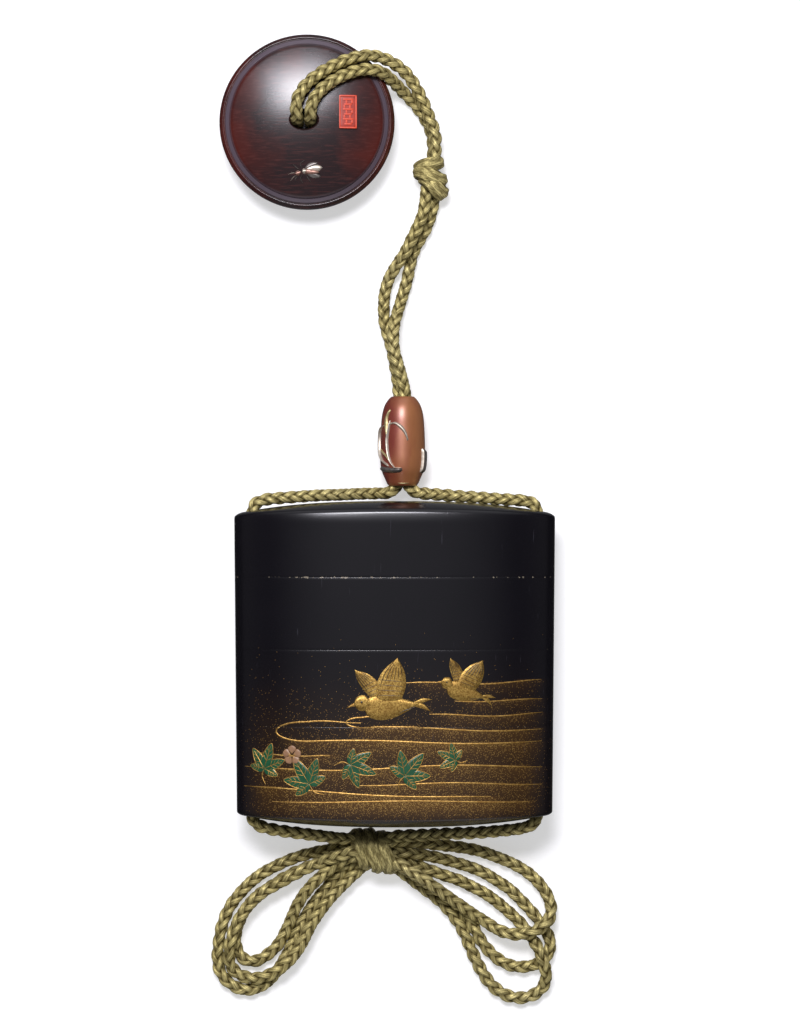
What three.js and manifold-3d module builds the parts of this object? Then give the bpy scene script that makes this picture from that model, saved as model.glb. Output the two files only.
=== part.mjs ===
// An inro: a stacked lacquer case in four fitting pieces, a bead (ojime) and a toggle (netsuke),
// all on one silk cord that is tied in a bow under the case. It lies on its back on a flat surface.
//
// Millimetres, +Z up. X runs across the case and +Y runs from the case towards the toggle.
// The origin is the middle of the narrow flat on the case's back.
import * as THREE from 'three';
import { mergeVertices } from 'three/addons/utils/BufferGeometryUtils.js';
import Module from 'manifold-3d';

const wasm = await Module();
wasm.setup();

// ---- driving dimensions ------------------------------------------------------------------

// The case: a fat oval section, a little narrower at its foot, with a domed top and foot.
const CASE = {
  halfWidth: 35.0,
  footHalfWidth: 34.4,
  halfThick: 10.85,
  roundness: 2.3,
  backFlatDepth: 0.35,
  halfHeight: 32.7,
  edgeBow: 0.8,
  domeRise: 2.0,
  domePower: 3,
  shoulder: { inset: 0.08, drop: 0.85 },
  foot: { inset: 0.03, drop: 0.6 },
};
const CENTRE_Z = CASE.halfThick - CASE.backFlatDepth;
const JOINTS = { lid: 19.0, upper: 3.3, middle: -13.3 };

// Inside the case: each tray has a thin lip that stands up into the piece above it.
const LIP = { halfLength: 28.0, halfThick: 9.0, height: 4.5 };
const FIT = 0.3;
const LIP_WALL = 1.0;
const FLOOR = 1.6;
const SHELL = 2.0;
const INNER_ROUNDNESS = 2.8;
const CHANNEL = { radius: 1.8, x: 31.1 };

const OJIME = { x: 1.75, top: 58.7, length: 19.9, bore: 2.1, radius: 4.95 };
const NETSUKE = { x: -19.2, y: 118.5, radius: 19.2, height: 12.2 };
const NETSUKE_HOLE = { x: -19.8, y: 118.7, radius: 3.0, depth: 7.5 };
const SEAL = { dx: 9.0, dy: 2.4, width: 3.9, height: 7.3, thick: 1.2, proud: 0.35, tilt: 9 };
const INSECT = { dx: 0.2, dy: -10.9, length: 5.6, width: 3.2, thick: 1.1, proud: 0.45, tilt: 10 };

const CORD = 2.6;
const CORD_SIDES = 8;
const GAP = 0.3;

// ---- helpers -----------------------------------------------------------------------------

// A manifold solid from a closed three.js geometry.
function solid(geometry) {
  const bare = geometry.index ? geometry.toNonIndexed() : geometry.clone();
  bare.deleteAttribute('normal');
  bare.deleteAttribute('uv');
  const merged = mergeVertices(bare, 1e-4);
  return new wasm.Manifold(new wasm.Mesh({
    numProp: 3,
    vertProperties: new Float32Array(merged.attributes.position.array),
    triVerts: new Uint32Array(merged.index.array),
  }));
}

// The three.js geometry of a manifold solid.
function geometryOf(manifold) {
  const mesh = manifold.getMesh();
  const geometry = new THREE.BufferGeometry();
  geometry.setAttribute('position', new THREE.BufferAttribute(new Float32Array(mesh.vertProperties), 3));
  geometry.setIndex(new THREE.BufferAttribute(new Uint32Array(mesh.triVerts), 1));
  geometry.computeVertexNormals();
  return geometry;
}

// A named part with its own plain material.
function part(name, geometry, color, roughness, metalness = 0) {
  const material = new THREE.MeshStandardMaterial({ color, roughness, metalness });
  const mesh = new THREE.Mesh(geometry, material);
  mesh.name = name;
  return mesh;
}

// A point of an oval with the given half axes; a roundness over 2 makes its ends blunter.
function oval(angle, halfLength, halfThick, roundness) {
  const power = 2 / roundness;
  const c = Math.cos(angle);
  const s = Math.sin(angle);
  return [
    halfLength * Math.sign(c) * Math.abs(c) ** power,
    halfThick * Math.sign(s) * Math.abs(s) ** power,
  ];
}

// Skins rings of equal point counts, closed at both ends by a fan to a centre point.
function skin(firstCentre, rings, lastCentre) {
  const count = rings[0].length;
  const points = [firstCentre, ...rings.flat(), lastCentre];
  const last = points.length - 1;
  const at = (ring, i) => 1 + ring * count + (i % count);
  const faces = [];
  for (let i = 0; i < count; i += 1) {
    faces.push(0, at(0, i), at(0, i + 1));
    for (let ring = 0; ring < rings.length - 1; ring += 1) {
      faces.push(at(ring, i), at(ring + 1, i), at(ring, i + 1));
      faces.push(at(ring, i + 1), at(ring + 1, i), at(ring + 1, i + 1));
    }
    faces.push(last, at(rings.length - 1, i + 1), at(rings.length - 1, i));
  }
  const geometry = new THREE.BufferGeometry();
  geometry.setAttribute('position', new THREE.Float32BufferAttribute(points.flat(), 3));
  geometry.setIndex(faces);
  return geometry;
}

// ---- the case ----------------------------------------------------------------------------

const RING_POINTS = 52;
const DOME_STEPS = [0.8, 0.55, 0.28];
const CEILING_STEPS = [1, 0.66, 0.33];
const EDGE_STEPS = [0, 0.35, 0.7, 1];

// The half width of the case at a height, which tapers evenly to the foot.
function halfWidthAt(y) {
  const t = (y + CASE.halfHeight) / (2 * CASE.halfHeight);
  return THREE.MathUtils.lerp(CASE.footHalfWidth, CASE.halfWidth, t);
}

// One ring of the case's outside, shrunk by rho towards its middle and lifted by lift(x, rho).
function outerRing(y, rho = 1, lift = () => 0) {
  const ring = [];
  for (let i = 0; i < RING_POINTS; i += 1) {
    const angle = (2 * Math.PI * i) / RING_POINTS;
    const [u, v] = oval(angle, 1, 1, CASE.roundness);
    const z = Math.max(v * CASE.halfThick, CASE.backFlatDepth - CASE.halfThick);
    const x = u * rho;
    ring.push([x * halfWidthAt(y), y + lift(x, rho), CENTRE_Z + z * rho]);
  }
  return ring;
}

// How far a domed end rises over its corners: a bow along the edge and a dome within it.
function domeLift(x, rho) {
  return CASE.edgeBow * (1 - x * x) + CASE.domeRise * (1 - rho ** CASE.domePower);
}

// The rings of a domed end from its wall to near its middle; side is +1 for the top, -1 for
// the foot. The wall turns into the dome through a quarter of an ellipse.
function domedEnd(side, edge) {
  const y = side * CASE.halfHeight;
  const rounded = EDGE_STEPS.map((step) => {
    const turn = (step * Math.PI) / 2;
    const rho = 1 - edge.inset * (1 - Math.cos(turn));
    const drop = edge.drop * (1 - Math.sin(turn));
    return outerRing(y, rho, (x, r) => side * (domeLift(x, r) - drop));
  });
  const dome = DOME_STEPS.map((rho) => outerRing(y, rho, (x, r) => side * domeLift(x, r)));
  return [...rounded, ...dome];
}

const endCentre = (side) => [0, side * (CASE.halfHeight + domeLift(0, 0)), CENTRE_Z];

// The outside of one piece of the case between two joints, or between a joint and a dome.
function outerBody(low, high) {
  const flat = (y) => [[0, y, CENTRE_Z]];
  const below = low === null ? { centre: endCentre(-1), rings: domedEnd(-1, CASE.foot).reverse() }
    : { centre: flat(low)[0], rings: [outerRing(low)] };
  const above = high === null ? { centre: endCentre(1), rings: domedEnd(1, CASE.shoulder) }
    : { centre: flat(high)[0], rings: [outerRing(high)] };
  return solid(skin(below.centre, [...below.rings, ...above.rings], above.centre));
}

// A straight oval plug between two heights, its far end domed like the case where asked.
function plug(halfLength, halfThick, low, high, domedSide = 0) {
  const ringAt = (y, rho, side) => {
    const ring = [];
    for (let i = 0; i < RING_POINTS; i += 1) {
      const [x, z] = oval((2 * Math.PI * i) / RING_POINTS, halfLength, halfThick, INNER_ROUNDNESS);
      const lift = side * domeLift((x * rho) / CASE.halfWidth, rho);
      ring.push([x * rho, y + lift, CENTRE_Z + z * rho]);
    }
    return ring;
  };
  const dome = (side) => CEILING_STEPS.map((rho) => ringAt(side > 0 ? high : low, rho, side));
  const lift = domeLift(0, 0);
  const lowRings = domedSide < 0 ? dome(-1).reverse() : [ringAt(low, 1, 0)];
  const highRings = domedSide > 0 ? dome(1) : [ringAt(high, 1, 0)];
  const lowCentre = [0, domedSide < 0 ? low - lift : low, CENTRE_Z];
  const highCentre = [0, domedSide > 0 ? high + lift : high, CENTRE_Z];
  return solid(skin(lowCentre, [...lowRings, ...highRings], highCentre));
}

// The two cord channels that run the whole height of the case, just inside its sides.
function channels() {
  const length = 2 * (CASE.halfHeight + CASE.edgeBow + CASE.domeRise) + 2;
  const tube = new THREE.CylinderGeometry(CHANNEL.radius, CHANNEL.radius, length, 16);
  const left = solid(tube.clone().translate(-CHANNEL.x, 0, CENTRE_Z));
  const right = solid(tube.clone().translate(CHANNEL.x, 0, CENTRE_Z));
  return left.add(right);
}
const CHANNELS = channels();

const socket = (low, high, domedSide = 0) => (
  plug(LIP.halfLength + FIT, LIP.halfThick + FIT, low, high, domedSide)
);
const lip = (joint) => plug(LIP.halfLength, LIP.halfThick, joint - 1, joint + LIP.height);
const cavity = (low, high, domedSide = 0) => (
  plug(LIP.halfLength - LIP_WALL, LIP.halfThick - LIP_WALL, low, high, domedSide)
);

function makeLid() {
  const ceiling = CASE.halfHeight - SHELL;
  const body = outerBody(JOINTS.lid, null)
    .subtract(socket(JOINTS.lid - 1, ceiling, 1))
    .subtract(CHANNELS);
  return part('lid', geometryOf(body), 0x15131a, 0.2);
}

// A tray that takes the lip of the one below it in its foot and stands its own lip up.
function makeMiddleTray(name, low, high) {
  const floorTop = low + LIP.height + FIT + FLOOR;
  const body = outerBody(low, high)
    .add(lip(high))
    .subtract(socket(low - 1, low + LIP.height + FIT))
    .subtract(cavity(floorTop, high + LIP.height + 1))
    .subtract(CHANNELS);
  return part(name, geometryOf(body), 0x15131a, 0.2);
}

function makeBottomTray() {
  const body = outerBody(null, JOINTS.middle)
    .add(lip(JOINTS.middle))
    .subtract(cavity(-CASE.halfHeight + SHELL, JOINTS.middle + LIP.height + 1, -1))
    .subtract(CHANNELS);
  return part('case_lower', geometryOf(body), 0x15131a, 0.2);
}

// ---- the bead ----------------------------------------------------------------------------

// A barrel of copper, blunt above and narrower below, bored along its length.
function makeOjime() {
  const outline = new THREE.SplineCurve([
    new THREE.Vector2(2.3, 0.3),
    new THREE.Vector2(3.3, 1.2),
    new THREE.Vector2(4.3, 3.2),
    new THREE.Vector2(4.75, 6.4),
    new THREE.Vector2(OJIME.radius, 12.4),
    new THREE.Vector2(4.7, 16.4),
    new THREE.Vector2(3.8, 18.5),
    new THREE.Vector2(3.0, OJIME.length),
  ]);
  const outer = outline.getPoints(14);
  const profile = [
    new THREE.Vector2(OJIME.bore, 0.3),
    new THREE.Vector2(OJIME.bore, OJIME.length),
    ...outer.reverse(),
    new THREE.Vector2(OJIME.bore, 0.3),
  ].map((p) => new THREE.Vector2(p.x, -p.y));
  const bead = new THREE.LatheGeometry(profile, 28);
  bead.translate(OJIME.x, OJIME.top, OJIME.radius);
  return part('ojime', bead, 0x8a4f38, 0.4, 0.6);
}

// ---- the toggle --------------------------------------------------------------------------

// The dome's height at a distance from the middle of the toggle.
const DOME = { radius: 16.8, fall: 2.3 };
const faceHeight = (r) => NETSUKE.height - DOME.fall * (r / DOME.radius) ** 2;

// A flat tile set in the dome, leaning with its slope; grow makes the pocket for it.
function settled(geometry, spec) {
  const r = Math.hypot(spec.dx, spec.dy);
  const lean = new THREE.Vector3(-spec.dy, spec.dx, 0).normalize();
  geometry.translate(0, 0, spec.proud - spec.thick);
  geometry.applyMatrix4(new THREE.Matrix4().makeRotationAxis(lean, THREE.MathUtils.degToRad(spec.tilt)));
  geometry.translate(NETSUKE.x + spec.dx, NETSUKE.y + spec.dy, faceHeight(r));
  return geometry;
}

function sealTile(grow = 0) {
  const w = SEAL.width / 2 + grow;
  const h = SEAL.height / 2 + grow;
  const outline = new THREE.Shape([
    new THREE.Vector2(-w, -h),
    new THREE.Vector2(w, -h),
    new THREE.Vector2(w, h),
    new THREE.Vector2(-w, h),
  ]);
  const tile = new THREE.ExtrudeGeometry(outline, { depth: SEAL.thick + grow, bevelEnabled: false });
  return settled(tile.translate(0, 0, -grow), SEAL);
}

function insectTile(grow = 0) {
  const outline = new THREE.Shape();
  outline.absellipse(0, 0, INSECT.length / 2 + grow, INSECT.width / 2 + grow, 0, 2 * Math.PI);
  const depth = INSECT.thick + grow;
  const tile = new THREE.ExtrudeGeometry(outline, { depth, bevelEnabled: false, curveSegments: 12 });
  return settled(tile.translate(0, 0, -grow), INSECT);
}

// A turned round toggle: a low dome, a step, a ringed rim band and a flat-bottomed underside.
function makeNetsuke() {
  const dome = [1, 0.8, 0.6, 0.4, 0.2].map((t) => [DOME.radius * t, faceHeight(DOME.radius * t)]);
  const profile = [
    [0, 0],
    [14.5, 0],
    [16.8, 0.7],
    [18.4, 2.4],
    [19.1, 4.6],
    [NETSUKE.radius, 6.4],
    [19.0, 7.6],
    [18.4, 8.5],
    [17.3, 9.3],
    [17.0, 9.4],
    ...dome,
    [0, faceHeight(0)],
  ].map(([r, h]) => new THREE.Vector2(r, h));
  const lathe = new THREE.LatheGeometry(profile, 44);
  lathe.rotateX(Math.PI / 2);
  lathe.translate(NETSUKE.x, NETSUKE.y, 0);
  const { radius, depth } = NETSUKE_HOLE;
  const hole = new THREE.CylinderGeometry(radius, radius, 2 * depth, 20);
  hole.rotateX(Math.PI / 2);
  hole.translate(NETSUKE_HOLE.x, NETSUKE_HOLE.y, NETSUKE.height);
  const body = solid(lathe)
    .subtract(solid(hole))
    .subtract(solid(sealTile(GAP)))
    .subtract(solid(insectTile(GAP)));
  return part('netsuke', geometryOf(body), 0x3a1f1e, 0.25);
}

// ---- the cord ----------------------------------------------------------------------------

// A smooth route whose evenly spaced parameters fall on its own points.
class Route extends THREE.CatmullRomCurve3 {
  getUtoTmapping(u) {
    return u;
  }
}

// A plain tube of the cord along a route.
function cordAlong(name, points, steps = points.length - 1) {
  const route = new Route(points.map((p) => new THREE.Vector3(...p)), false, 'centripetal');
  const corners = [];
  for (let i = 0; i < CORD_SIDES; i += 1) {
    const angle = (2 * Math.PI * i) / CORD_SIDES;
    corners.push(new THREE.Vector2(Math.cos(angle), Math.sin(angle)).multiplyScalar(CORD / 2));
  }
  const section = new THREE.Shape(corners);
  const tube = new THREE.ExtrudeGeometry(section, { steps, extrudePath: route, bevelEnabled: false });
  return part(name, tube, 0xa39552, 0.8);
}

// The two strands from the hole in the toggle, over its rim and down to the upper knot. The
// outer one comes to lie on the inner one.
const NETSUKE_OUTER = [
  [-21.25, 118.6, 5.2], [-21.25, 118.8, 10.6], [-21.35, 119.7, 13.6], [-21.3, 122.2, 14.5],
  [-19.7, 125.4, 14.1], [-16.7, 128.2, 13.3], [-13.0, 130.4, 12.6], [-9.2, 132.0, 11.6],
  [-5.1, 132.8, 9.4], [-1.1, 131.8, 7.3], [2.5, 129.3, 5.8], [5.4, 124.9, 4.7],
  [7.4, 120.2, 4.3], [8.8, 116.2, 4.3], [8.9, 112.4, 4.5],
];
const NETSUKE_INNER = [
  [-18.35, 118.6, 5.2], [-18.35, 118.8, 10.6], [-18.3, 119.6, 13.5], [-18.0, 121.7, 14.4],
  [-16.6, 124.2, 14.0], [-13.9, 126.6, 13.1], [-10.6, 128.4, 12.4], [-7.0, 129.5, 11.8],
  [-3.4, 129.3, 10.3], [-0.6, 127.6, 6.7], [1.9, 125.4, 3.1], [4.4, 123.0, 1.6],
  [6.6, 120.0, 1.4], [8.2, 116.3, 1.4], [8.5, 112.4, 1.6],
];

// The two strands from the upper knot to the bead. They cross, part and cross back.
const MIDDLE_LEFT = [
  [6.7, 101.5, 3.6], [6.2, 98.6, 3.8], [5.0, 95.7, 4.0], [3.6, 92.8, 4.3],
  [2.2, 90.0, 4.2], [0.3, 87.2, 3.0], [-1.3, 84.4, 1.6], [-2.2, 81.2, 1.4],
  [-2.4, 77.9, 1.4], [-2.2, 74.8, 1.4], [-1.4, 71.8, 1.4], [-0.6, 69.0, 1.6],
  [0.0, 65.8, 2.4], [0.6, 62.4, 3.1], [0.9, 59.1, 3.3],
];
const MIDDLE_RIGHT = [
  [8.6, 101.5, 1.4], [8.0, 98.7, 1.4], [7.0, 95.8, 1.4], [5.4, 92.9, 1.4],
  [4.0, 90.0, 1.4], [3.3, 87.1, 1.4], [2.7, 84.1, 1.4], [1.8, 81.0, 1.4],
  [0.9, 78.0, 1.9], [0.0, 74.8, 3.4], [-0.3, 71.6, 4.4], [-0.1, 68.6, 5.1],
  [0.7, 65.6, 5.7], [1.3, 62.4, 6.1], [1.7, 59.1, 6.3],
];

// The two strands from the bead along the lid, down through the channels and back under the
// foot to the bow.
const CASE_LEFT = [
  [0.5, 37.3, 4.95], [-1.3, 37.2, 5.4], [-3.8, 37.2, 6.2], [-7.4, 37.1, 7.5],
  [-11.6, 36.9, 8.7], [-16.2, 36.75, 9.6], [-20.8, 36.45, 10.2], [-24.9, 36.15, 10.5],
  [-28.2, 35.8, 10.5], [-30.35, 34.9, 10.5], [-31.05, 33.0, 10.5], [-31.1, 30.0, 10.5],
  [-31.1, -30.5, 10.5], [-31.05, -33.0, 10.5], [-30.3, -34.8, 10.5], [-28.2, -35.75, 10.5],
  [-24.6, -36.45, 10.3], [-20.4, -37.05, 9.8], [-16.2, -37.65, 8.9], [-12.6, -38.2, 7.8],
  [-9.7, -38.5, 6.9],
];
const CASE_RIGHT = [
  [3.0, 37.3, 4.95], [4.8, 37.2, 5.4], [7.4, 37.1, 6.2], [10.8, 36.85, 7.5],
  [14.6, 36.5, 8.6], [18.6, 36.25, 9.5], [22.4, 35.95, 10.2], [25.7, 35.75, 10.5],
  [28.5, 35.5, 10.5], [30.45, 34.75, 10.5], [31.05, 33.0, 10.5], [31.1, 30.0, 10.5],
  [31.1, -30.5, 10.5], [31.05, -33.0, 10.5], [30.3, -34.8, 10.5], [28.2, -35.75, 10.5],
  [23.6, -36.4, 10.2], [18.0, -36.9, 9.6], [12.0, -37.2, 8.6], [6.0, -37.6, 7.4],
  [0.5, -37.9, 6.7],
];

function makeCords() {
  const inside = [[OJIME.x, OJIME.top - 0.1, OJIME.radius], [OJIME.x, 39.0, OJIME.radius]];
  return [
    cordAlong('cord_netsuke_outer', NETSUKE_OUTER),
    cordAlong('cord_netsuke_inner', NETSUKE_INNER),
    cordAlong('cord_middle_left', MIDDLE_LEFT, 7),
    cordAlong('cord_middle_right', MIDDLE_RIGHT, 7),
    cordAlong('cord_in_ojime', inside),
    cordAlong('cord_case_left', CASE_LEFT),
    cordAlong('cord_case_right', CASE_RIGHT),
  ];
}

// A knot as one rounded lump.
function knot(name, centre, size) {
  const lump = new THREE.SphereGeometry(0.5, 16, 10);
  lump.scale(...size);
  lump.translate(...centre);
  return part(name, lump, 0xa39552, 0.8);
}

// A bundle of the bow's loops: a smooth outline, with the opening in its middle where it has one.
const BOW_THICK = 5.2;
const smooth = (points) => new THREE.SplineCurve(
  [...points, points[0]].map((p) => new THREE.Vector2(...p)),
).getPoints(points.length * 2);

function bundle(name, outline, opening) {
  const shape = new THREE.Shape(smooth(outline));
  if (opening) shape.holes.push(new THREE.Path(smooth(opening)));
  const body = new THREE.ExtrudeGeometry(shape, { depth: BOW_THICK, bevelEnabled: false });
  return part(name, body, 0xa39552, 0.8);
}

const BOW_LEFT = [
  [-9.6, -39.9], [-15.3, -40.2], [-20.8, -41.1], [-27.4, -43.4], [-33.2, -47.2],
  [-37.1, -52.2], [-39.5, -57.7], [-40.4, -64.3], [-39.3, -68.7], [-35.8, -72.0],
  [-31.8, -73.0], [-27.9, -71.2], [-23.0, -67.0], [-20.0, -61.5], [-16.0, -54.9],
  [-9.8, -47.5],
];
const BOW_LEFT_OPENING = [
  [-20.2, -48.5], [-27.4, -50.7], [-31.8, -54.0], [-34.3, -59.5], [-31.8, -64.6],
  [-27.0, -62.1], [-23.7, -56.6],
];
const BOW_RIGHT = [
  [0.3, -39.0], [6.0, -38.5], [12.2, -38.6], [18.8, -39.3], [24.3, -41.0], [29.8, -43.9],
  [33.7, -48.3], [35.7, -53.3], [35.6, -62.1], [34.7, -69.4], [33.0, -72.5], [29.8, -74.9],
  [25.4, -74.7], [21.0, -72.3], [17.7, -68.1], [14.8, -62.1], [12.6, -55.5], [9.4, -51.4],
  [0.4, -46.0],
];

// ---- the whole thing ---------------------------------------------------------------------

const inro = new THREE.Group();
inro.add(
  makeLid(),
  makeMiddleTray('case_upper', JOINTS.upper, JOINTS.lid),
  makeMiddleTray('case_middle', JOINTS.middle, JOINTS.upper),
  makeBottomTray(),
  makeOjime(),
  makeNetsuke(),
  part('seal_plaque', sealTile(), 0xd2452c, 0.4),
  part('insect_inlay', insectTile(), 0xa07a68, 0.35, 0.9),
  ...makeCords(),
  knot('knot_upper', [8.2, 106.8, 3.5], [7.6, 9.8, 6.8]),
  knot('knot_bow', [-4.6, -41.0, 4.6], [8.8, 9.4, 9.0]),
  bundle('bow_left', BOW_LEFT, BOW_LEFT_OPENING),
  bundle('bow_right', BOW_RIGHT),
);

export default inro;
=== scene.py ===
"""An inro on its silk cord, with its bead and its toggle, laid out on a pale floor.

The case is black lacquer over thin wood, with plovers over flowing water in gold, and green
maple leaves afloat on it. Shapes are worked out in millimetres, in the frame's own axes, and
turned to metres when a mesh is made.
"""

import math

import bmesh
import bpy
import numpy as np
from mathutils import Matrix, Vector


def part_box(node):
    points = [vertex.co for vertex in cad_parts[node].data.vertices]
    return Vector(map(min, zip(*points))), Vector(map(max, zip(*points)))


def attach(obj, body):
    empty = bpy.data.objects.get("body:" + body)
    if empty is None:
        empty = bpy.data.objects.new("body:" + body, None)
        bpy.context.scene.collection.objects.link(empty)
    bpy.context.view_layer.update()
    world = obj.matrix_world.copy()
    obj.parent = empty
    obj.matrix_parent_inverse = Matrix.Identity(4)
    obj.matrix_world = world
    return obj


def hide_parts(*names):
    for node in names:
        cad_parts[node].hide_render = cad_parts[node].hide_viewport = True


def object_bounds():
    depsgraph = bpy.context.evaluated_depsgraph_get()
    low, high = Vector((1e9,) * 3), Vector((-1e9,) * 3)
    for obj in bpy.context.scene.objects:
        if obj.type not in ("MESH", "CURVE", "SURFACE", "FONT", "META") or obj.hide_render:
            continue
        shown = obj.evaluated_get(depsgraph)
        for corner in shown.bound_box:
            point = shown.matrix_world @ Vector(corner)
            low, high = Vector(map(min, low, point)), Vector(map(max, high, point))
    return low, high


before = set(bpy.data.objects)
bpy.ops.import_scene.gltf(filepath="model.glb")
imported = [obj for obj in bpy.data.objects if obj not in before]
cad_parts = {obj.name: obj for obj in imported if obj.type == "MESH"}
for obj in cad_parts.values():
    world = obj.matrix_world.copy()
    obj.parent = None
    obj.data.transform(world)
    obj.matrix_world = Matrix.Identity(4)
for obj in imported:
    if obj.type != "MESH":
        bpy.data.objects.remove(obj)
cad_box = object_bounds()

MM = 0.001


def box_mm(node):
    """The lowest and highest corners of a CAD node, in millimetres."""
    low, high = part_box(node)
    return np.array(low) / MM, np.array(high) / MM


# ---- sizes taken from the frame ----------------------------------------------------------

LID_LOW, LID_HIGH = box_mm("lid")
# The heights at which the pieces of the case part, each named for the piece above it.
JOINTS = {
    "lid": LID_LOW[1],
    "upper": box_mm("case_upper")[0][1],
    "middle": box_mm("case_middle")[0][1],
}

# The case's section is a fat oval, flattened a little at the back so that it lies still. Its
# thickness, and its widths at the top, the foot and the middle of the case, are half sizes.
CASE_THICK = 10.85
CASE_ROUNDNESS = 2.3
BACK_FLAT = 0.35
CASE_Z = CASE_THICK - BACK_FLAT
TOP_WIDTH = 35.0
FOOT_WIDTH = 34.4
MIDDLE_WIDTH = (TOP_WIDTH + FOOT_WIDTH) / 2

# The ends bow by EDGE_BOW along their edge and swell by DOME_RISE more to their middle. Their
# edges turn over by a quarter of an ellipse: its share of the half width, and its height.
EDGE_BOW = 0.8
DOME_RISE = 2.0
DOME_POWER = 3
CASE_HALF = LID_HIGH[1] - EDGE_BOW - DOME_RISE
SHOULDER = (0.06, 0.85)
FOOT = (0.03, 0.6)

# The trays: half sizes of the lip, its height and wall, the gap round it, how far down its top
# is rounded, and the thickness of a tray's floor and of the case's ends. Then the cord's
# channels down both sides.
LIP_WIDTH, LIP_THICK, LIP_HEIGHT = 28.0, 9.0, 4.5
LIP_WALL, LIP_FIT, LIP_ROUNDED, FLOOR, SHELL = 1.0, 0.3, 0.5, 1.6, 2.0
INNER_ROUNDNESS = 2.8
CHANNEL_X, CHANNEL_RADIUS = 31.1, 1.8

# The bead's axis, its upper end, and the radius by which arcs round it are measured.
BEAD_LOW, BEAD_HIGH = box_mm("ojime")
BEAD_X = (BEAD_LOW[0] + BEAD_HIGH[0]) / 2
BEAD_TOP = 58.7
BEAD_Z = 4.95
BEAD_RADIUS = 4.8

# The toggle's middle. Its face is a dome TOGGLE_TOP above the floor, which falls by TOGGLE_FALL
# at TOGGLE_DOME from its middle.
TOGGLE_LOW, TOGGLE_HIGH = box_mm("netsuke")
TOGGLE = np.array([(TOGGLE_LOW[0] + TOGGLE_HIGH[0]) / 2, (TOGGLE_LOW[1] + TOGGLE_HIGH[1]) / 2])
TOGGLE_TOP = 12.2
TOGGLE_FALL = 2.3
TOGGLE_DOME = 16.8
# The cord's hole in the toggle's face: its middle, half width and depth, and its height over
# its width.
TOGGLE_HOLE = (-19.8, 118.6, 2.88, 7.5)
HOLE_SQUASH = 0.7

# ---- meshes ------------------------------------------------------------------------------


def make_piece(name, vertices, faces, uv=None, sharp=40):
    """An object from points in millimetres and arrays of three- and four-cornered faces."""
    mesh = bpy.data.meshes.new(name)
    sizes = np.concatenate([np.full(len(f), f.shape[1]) for f in faces])
    corners = np.concatenate([f.ravel() for f in faces])
    starts = np.concatenate([[0], np.cumsum(sizes)[:-1]])
    mesh.vertices.add(len(vertices))
    mesh.vertices.foreach_set("co", (np.asarray(vertices) * MM).ravel())
    mesh.loops.add(len(corners))
    mesh.loops.foreach_set("vertex_index", corners.astype(np.int32))
    mesh.polygons.add(len(sizes))
    mesh.polygons.foreach_set("loop_start", starts.astype(np.int32))
    if uv is not None:
        layer = mesh.uv_layers.new(name="Lay")
        layer.uv.foreach_set("vector", np.concatenate([u.ravel() for u in uv]))
    mesh.update(calc_edges=True)
    mesh.shade_smooth()
    if sharp:
        mesh.set_sharp_from_angle(angle=math.radians(sharp))
    piece = bpy.data.objects.new(name, mesh)
    bpy.context.scene.collection.objects.link(piece)
    return piece


def grid_faces(rows, columns, wrap):
    """Quads of a grid of points numbered row by row; wrap joins the last column to the first."""
    row, column = np.meshgrid(np.arange(rows - 1), np.arange(columns if wrap else columns - 1),
                              indexing="ij")
    here = row * columns + column
    beside = row * columns + (column + 1) % columns
    quads = np.stack([here, beside, beside + columns, here + columns], axis=-1)
    return quads.reshape(-1, 4)


def fan_faces(centre, first, columns, flip):
    """Triangles from a centre point to a ring of points."""
    i = np.arange(columns)
    j = (i + 1) % columns
    tris = np.stack([np.full(columns, centre), first + i, first + j], axis=-1)
    return tris[:, ::-1] if flip else tris


def closed_rings(rings, low=None, high=None):
    """Points and faces of a closed body skinned over rings of points, [ring, point, xyz].
    low and high are the points in which its two ends meet; without one an end is its middle."""
    count, columns, _ = rings.shape
    low = rings[0].mean(0) if low is None else low
    high = rings[-1].mean(0) if high is None else high
    points = np.concatenate([rings.reshape(-1, 3), [low], [high]])
    faces = [
        grid_faces(count, columns, True),
        fan_faces(count * columns, 0, columns, True),
        fan_faces(count * columns + 1, (count - 1) * columns, columns, False),
    ]
    return points, faces


def facing_out(points, faces):
    """The faces of a closed body, turned about if the volume that they enclose is negative: the
    sum over the triangles that they make of a sixth of corner . (next corner x last corner)."""
    points = points - points.mean(0)
    volume = 0.0
    for part in faces:
        for k in range(part.shape[1] - 2):
            a, b, c = points[part[:, 0]], points[part[:, k + 1]], points[part[:, k + 2]]
            volume += (a * np.cross(b, c)).sum() / 6
    return faces if volume > 0 else [part[:, ::-1] for part in faces]


def joined(parts):
    """Several (points, faces) as one, with the later faces' numbers moved on."""
    points, faces, start = [], [], 0
    for part_points, part_faces in parts:
        points.append(part_points)
        faces.extend(f + start for f in part_faces)
        start += len(part_points)
    return np.concatenate(points), faces


def keep(piece, slot, *materials, replaces=()):
    """Gives a piece its materials and its place on the body. Its argument slot is not used."""
    piece.data.materials.clear()
    for material in materials:
        piece.data.materials.append(material)
    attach(piece, "root")
    if replaces:
        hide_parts(*replaces)
    return piece


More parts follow.
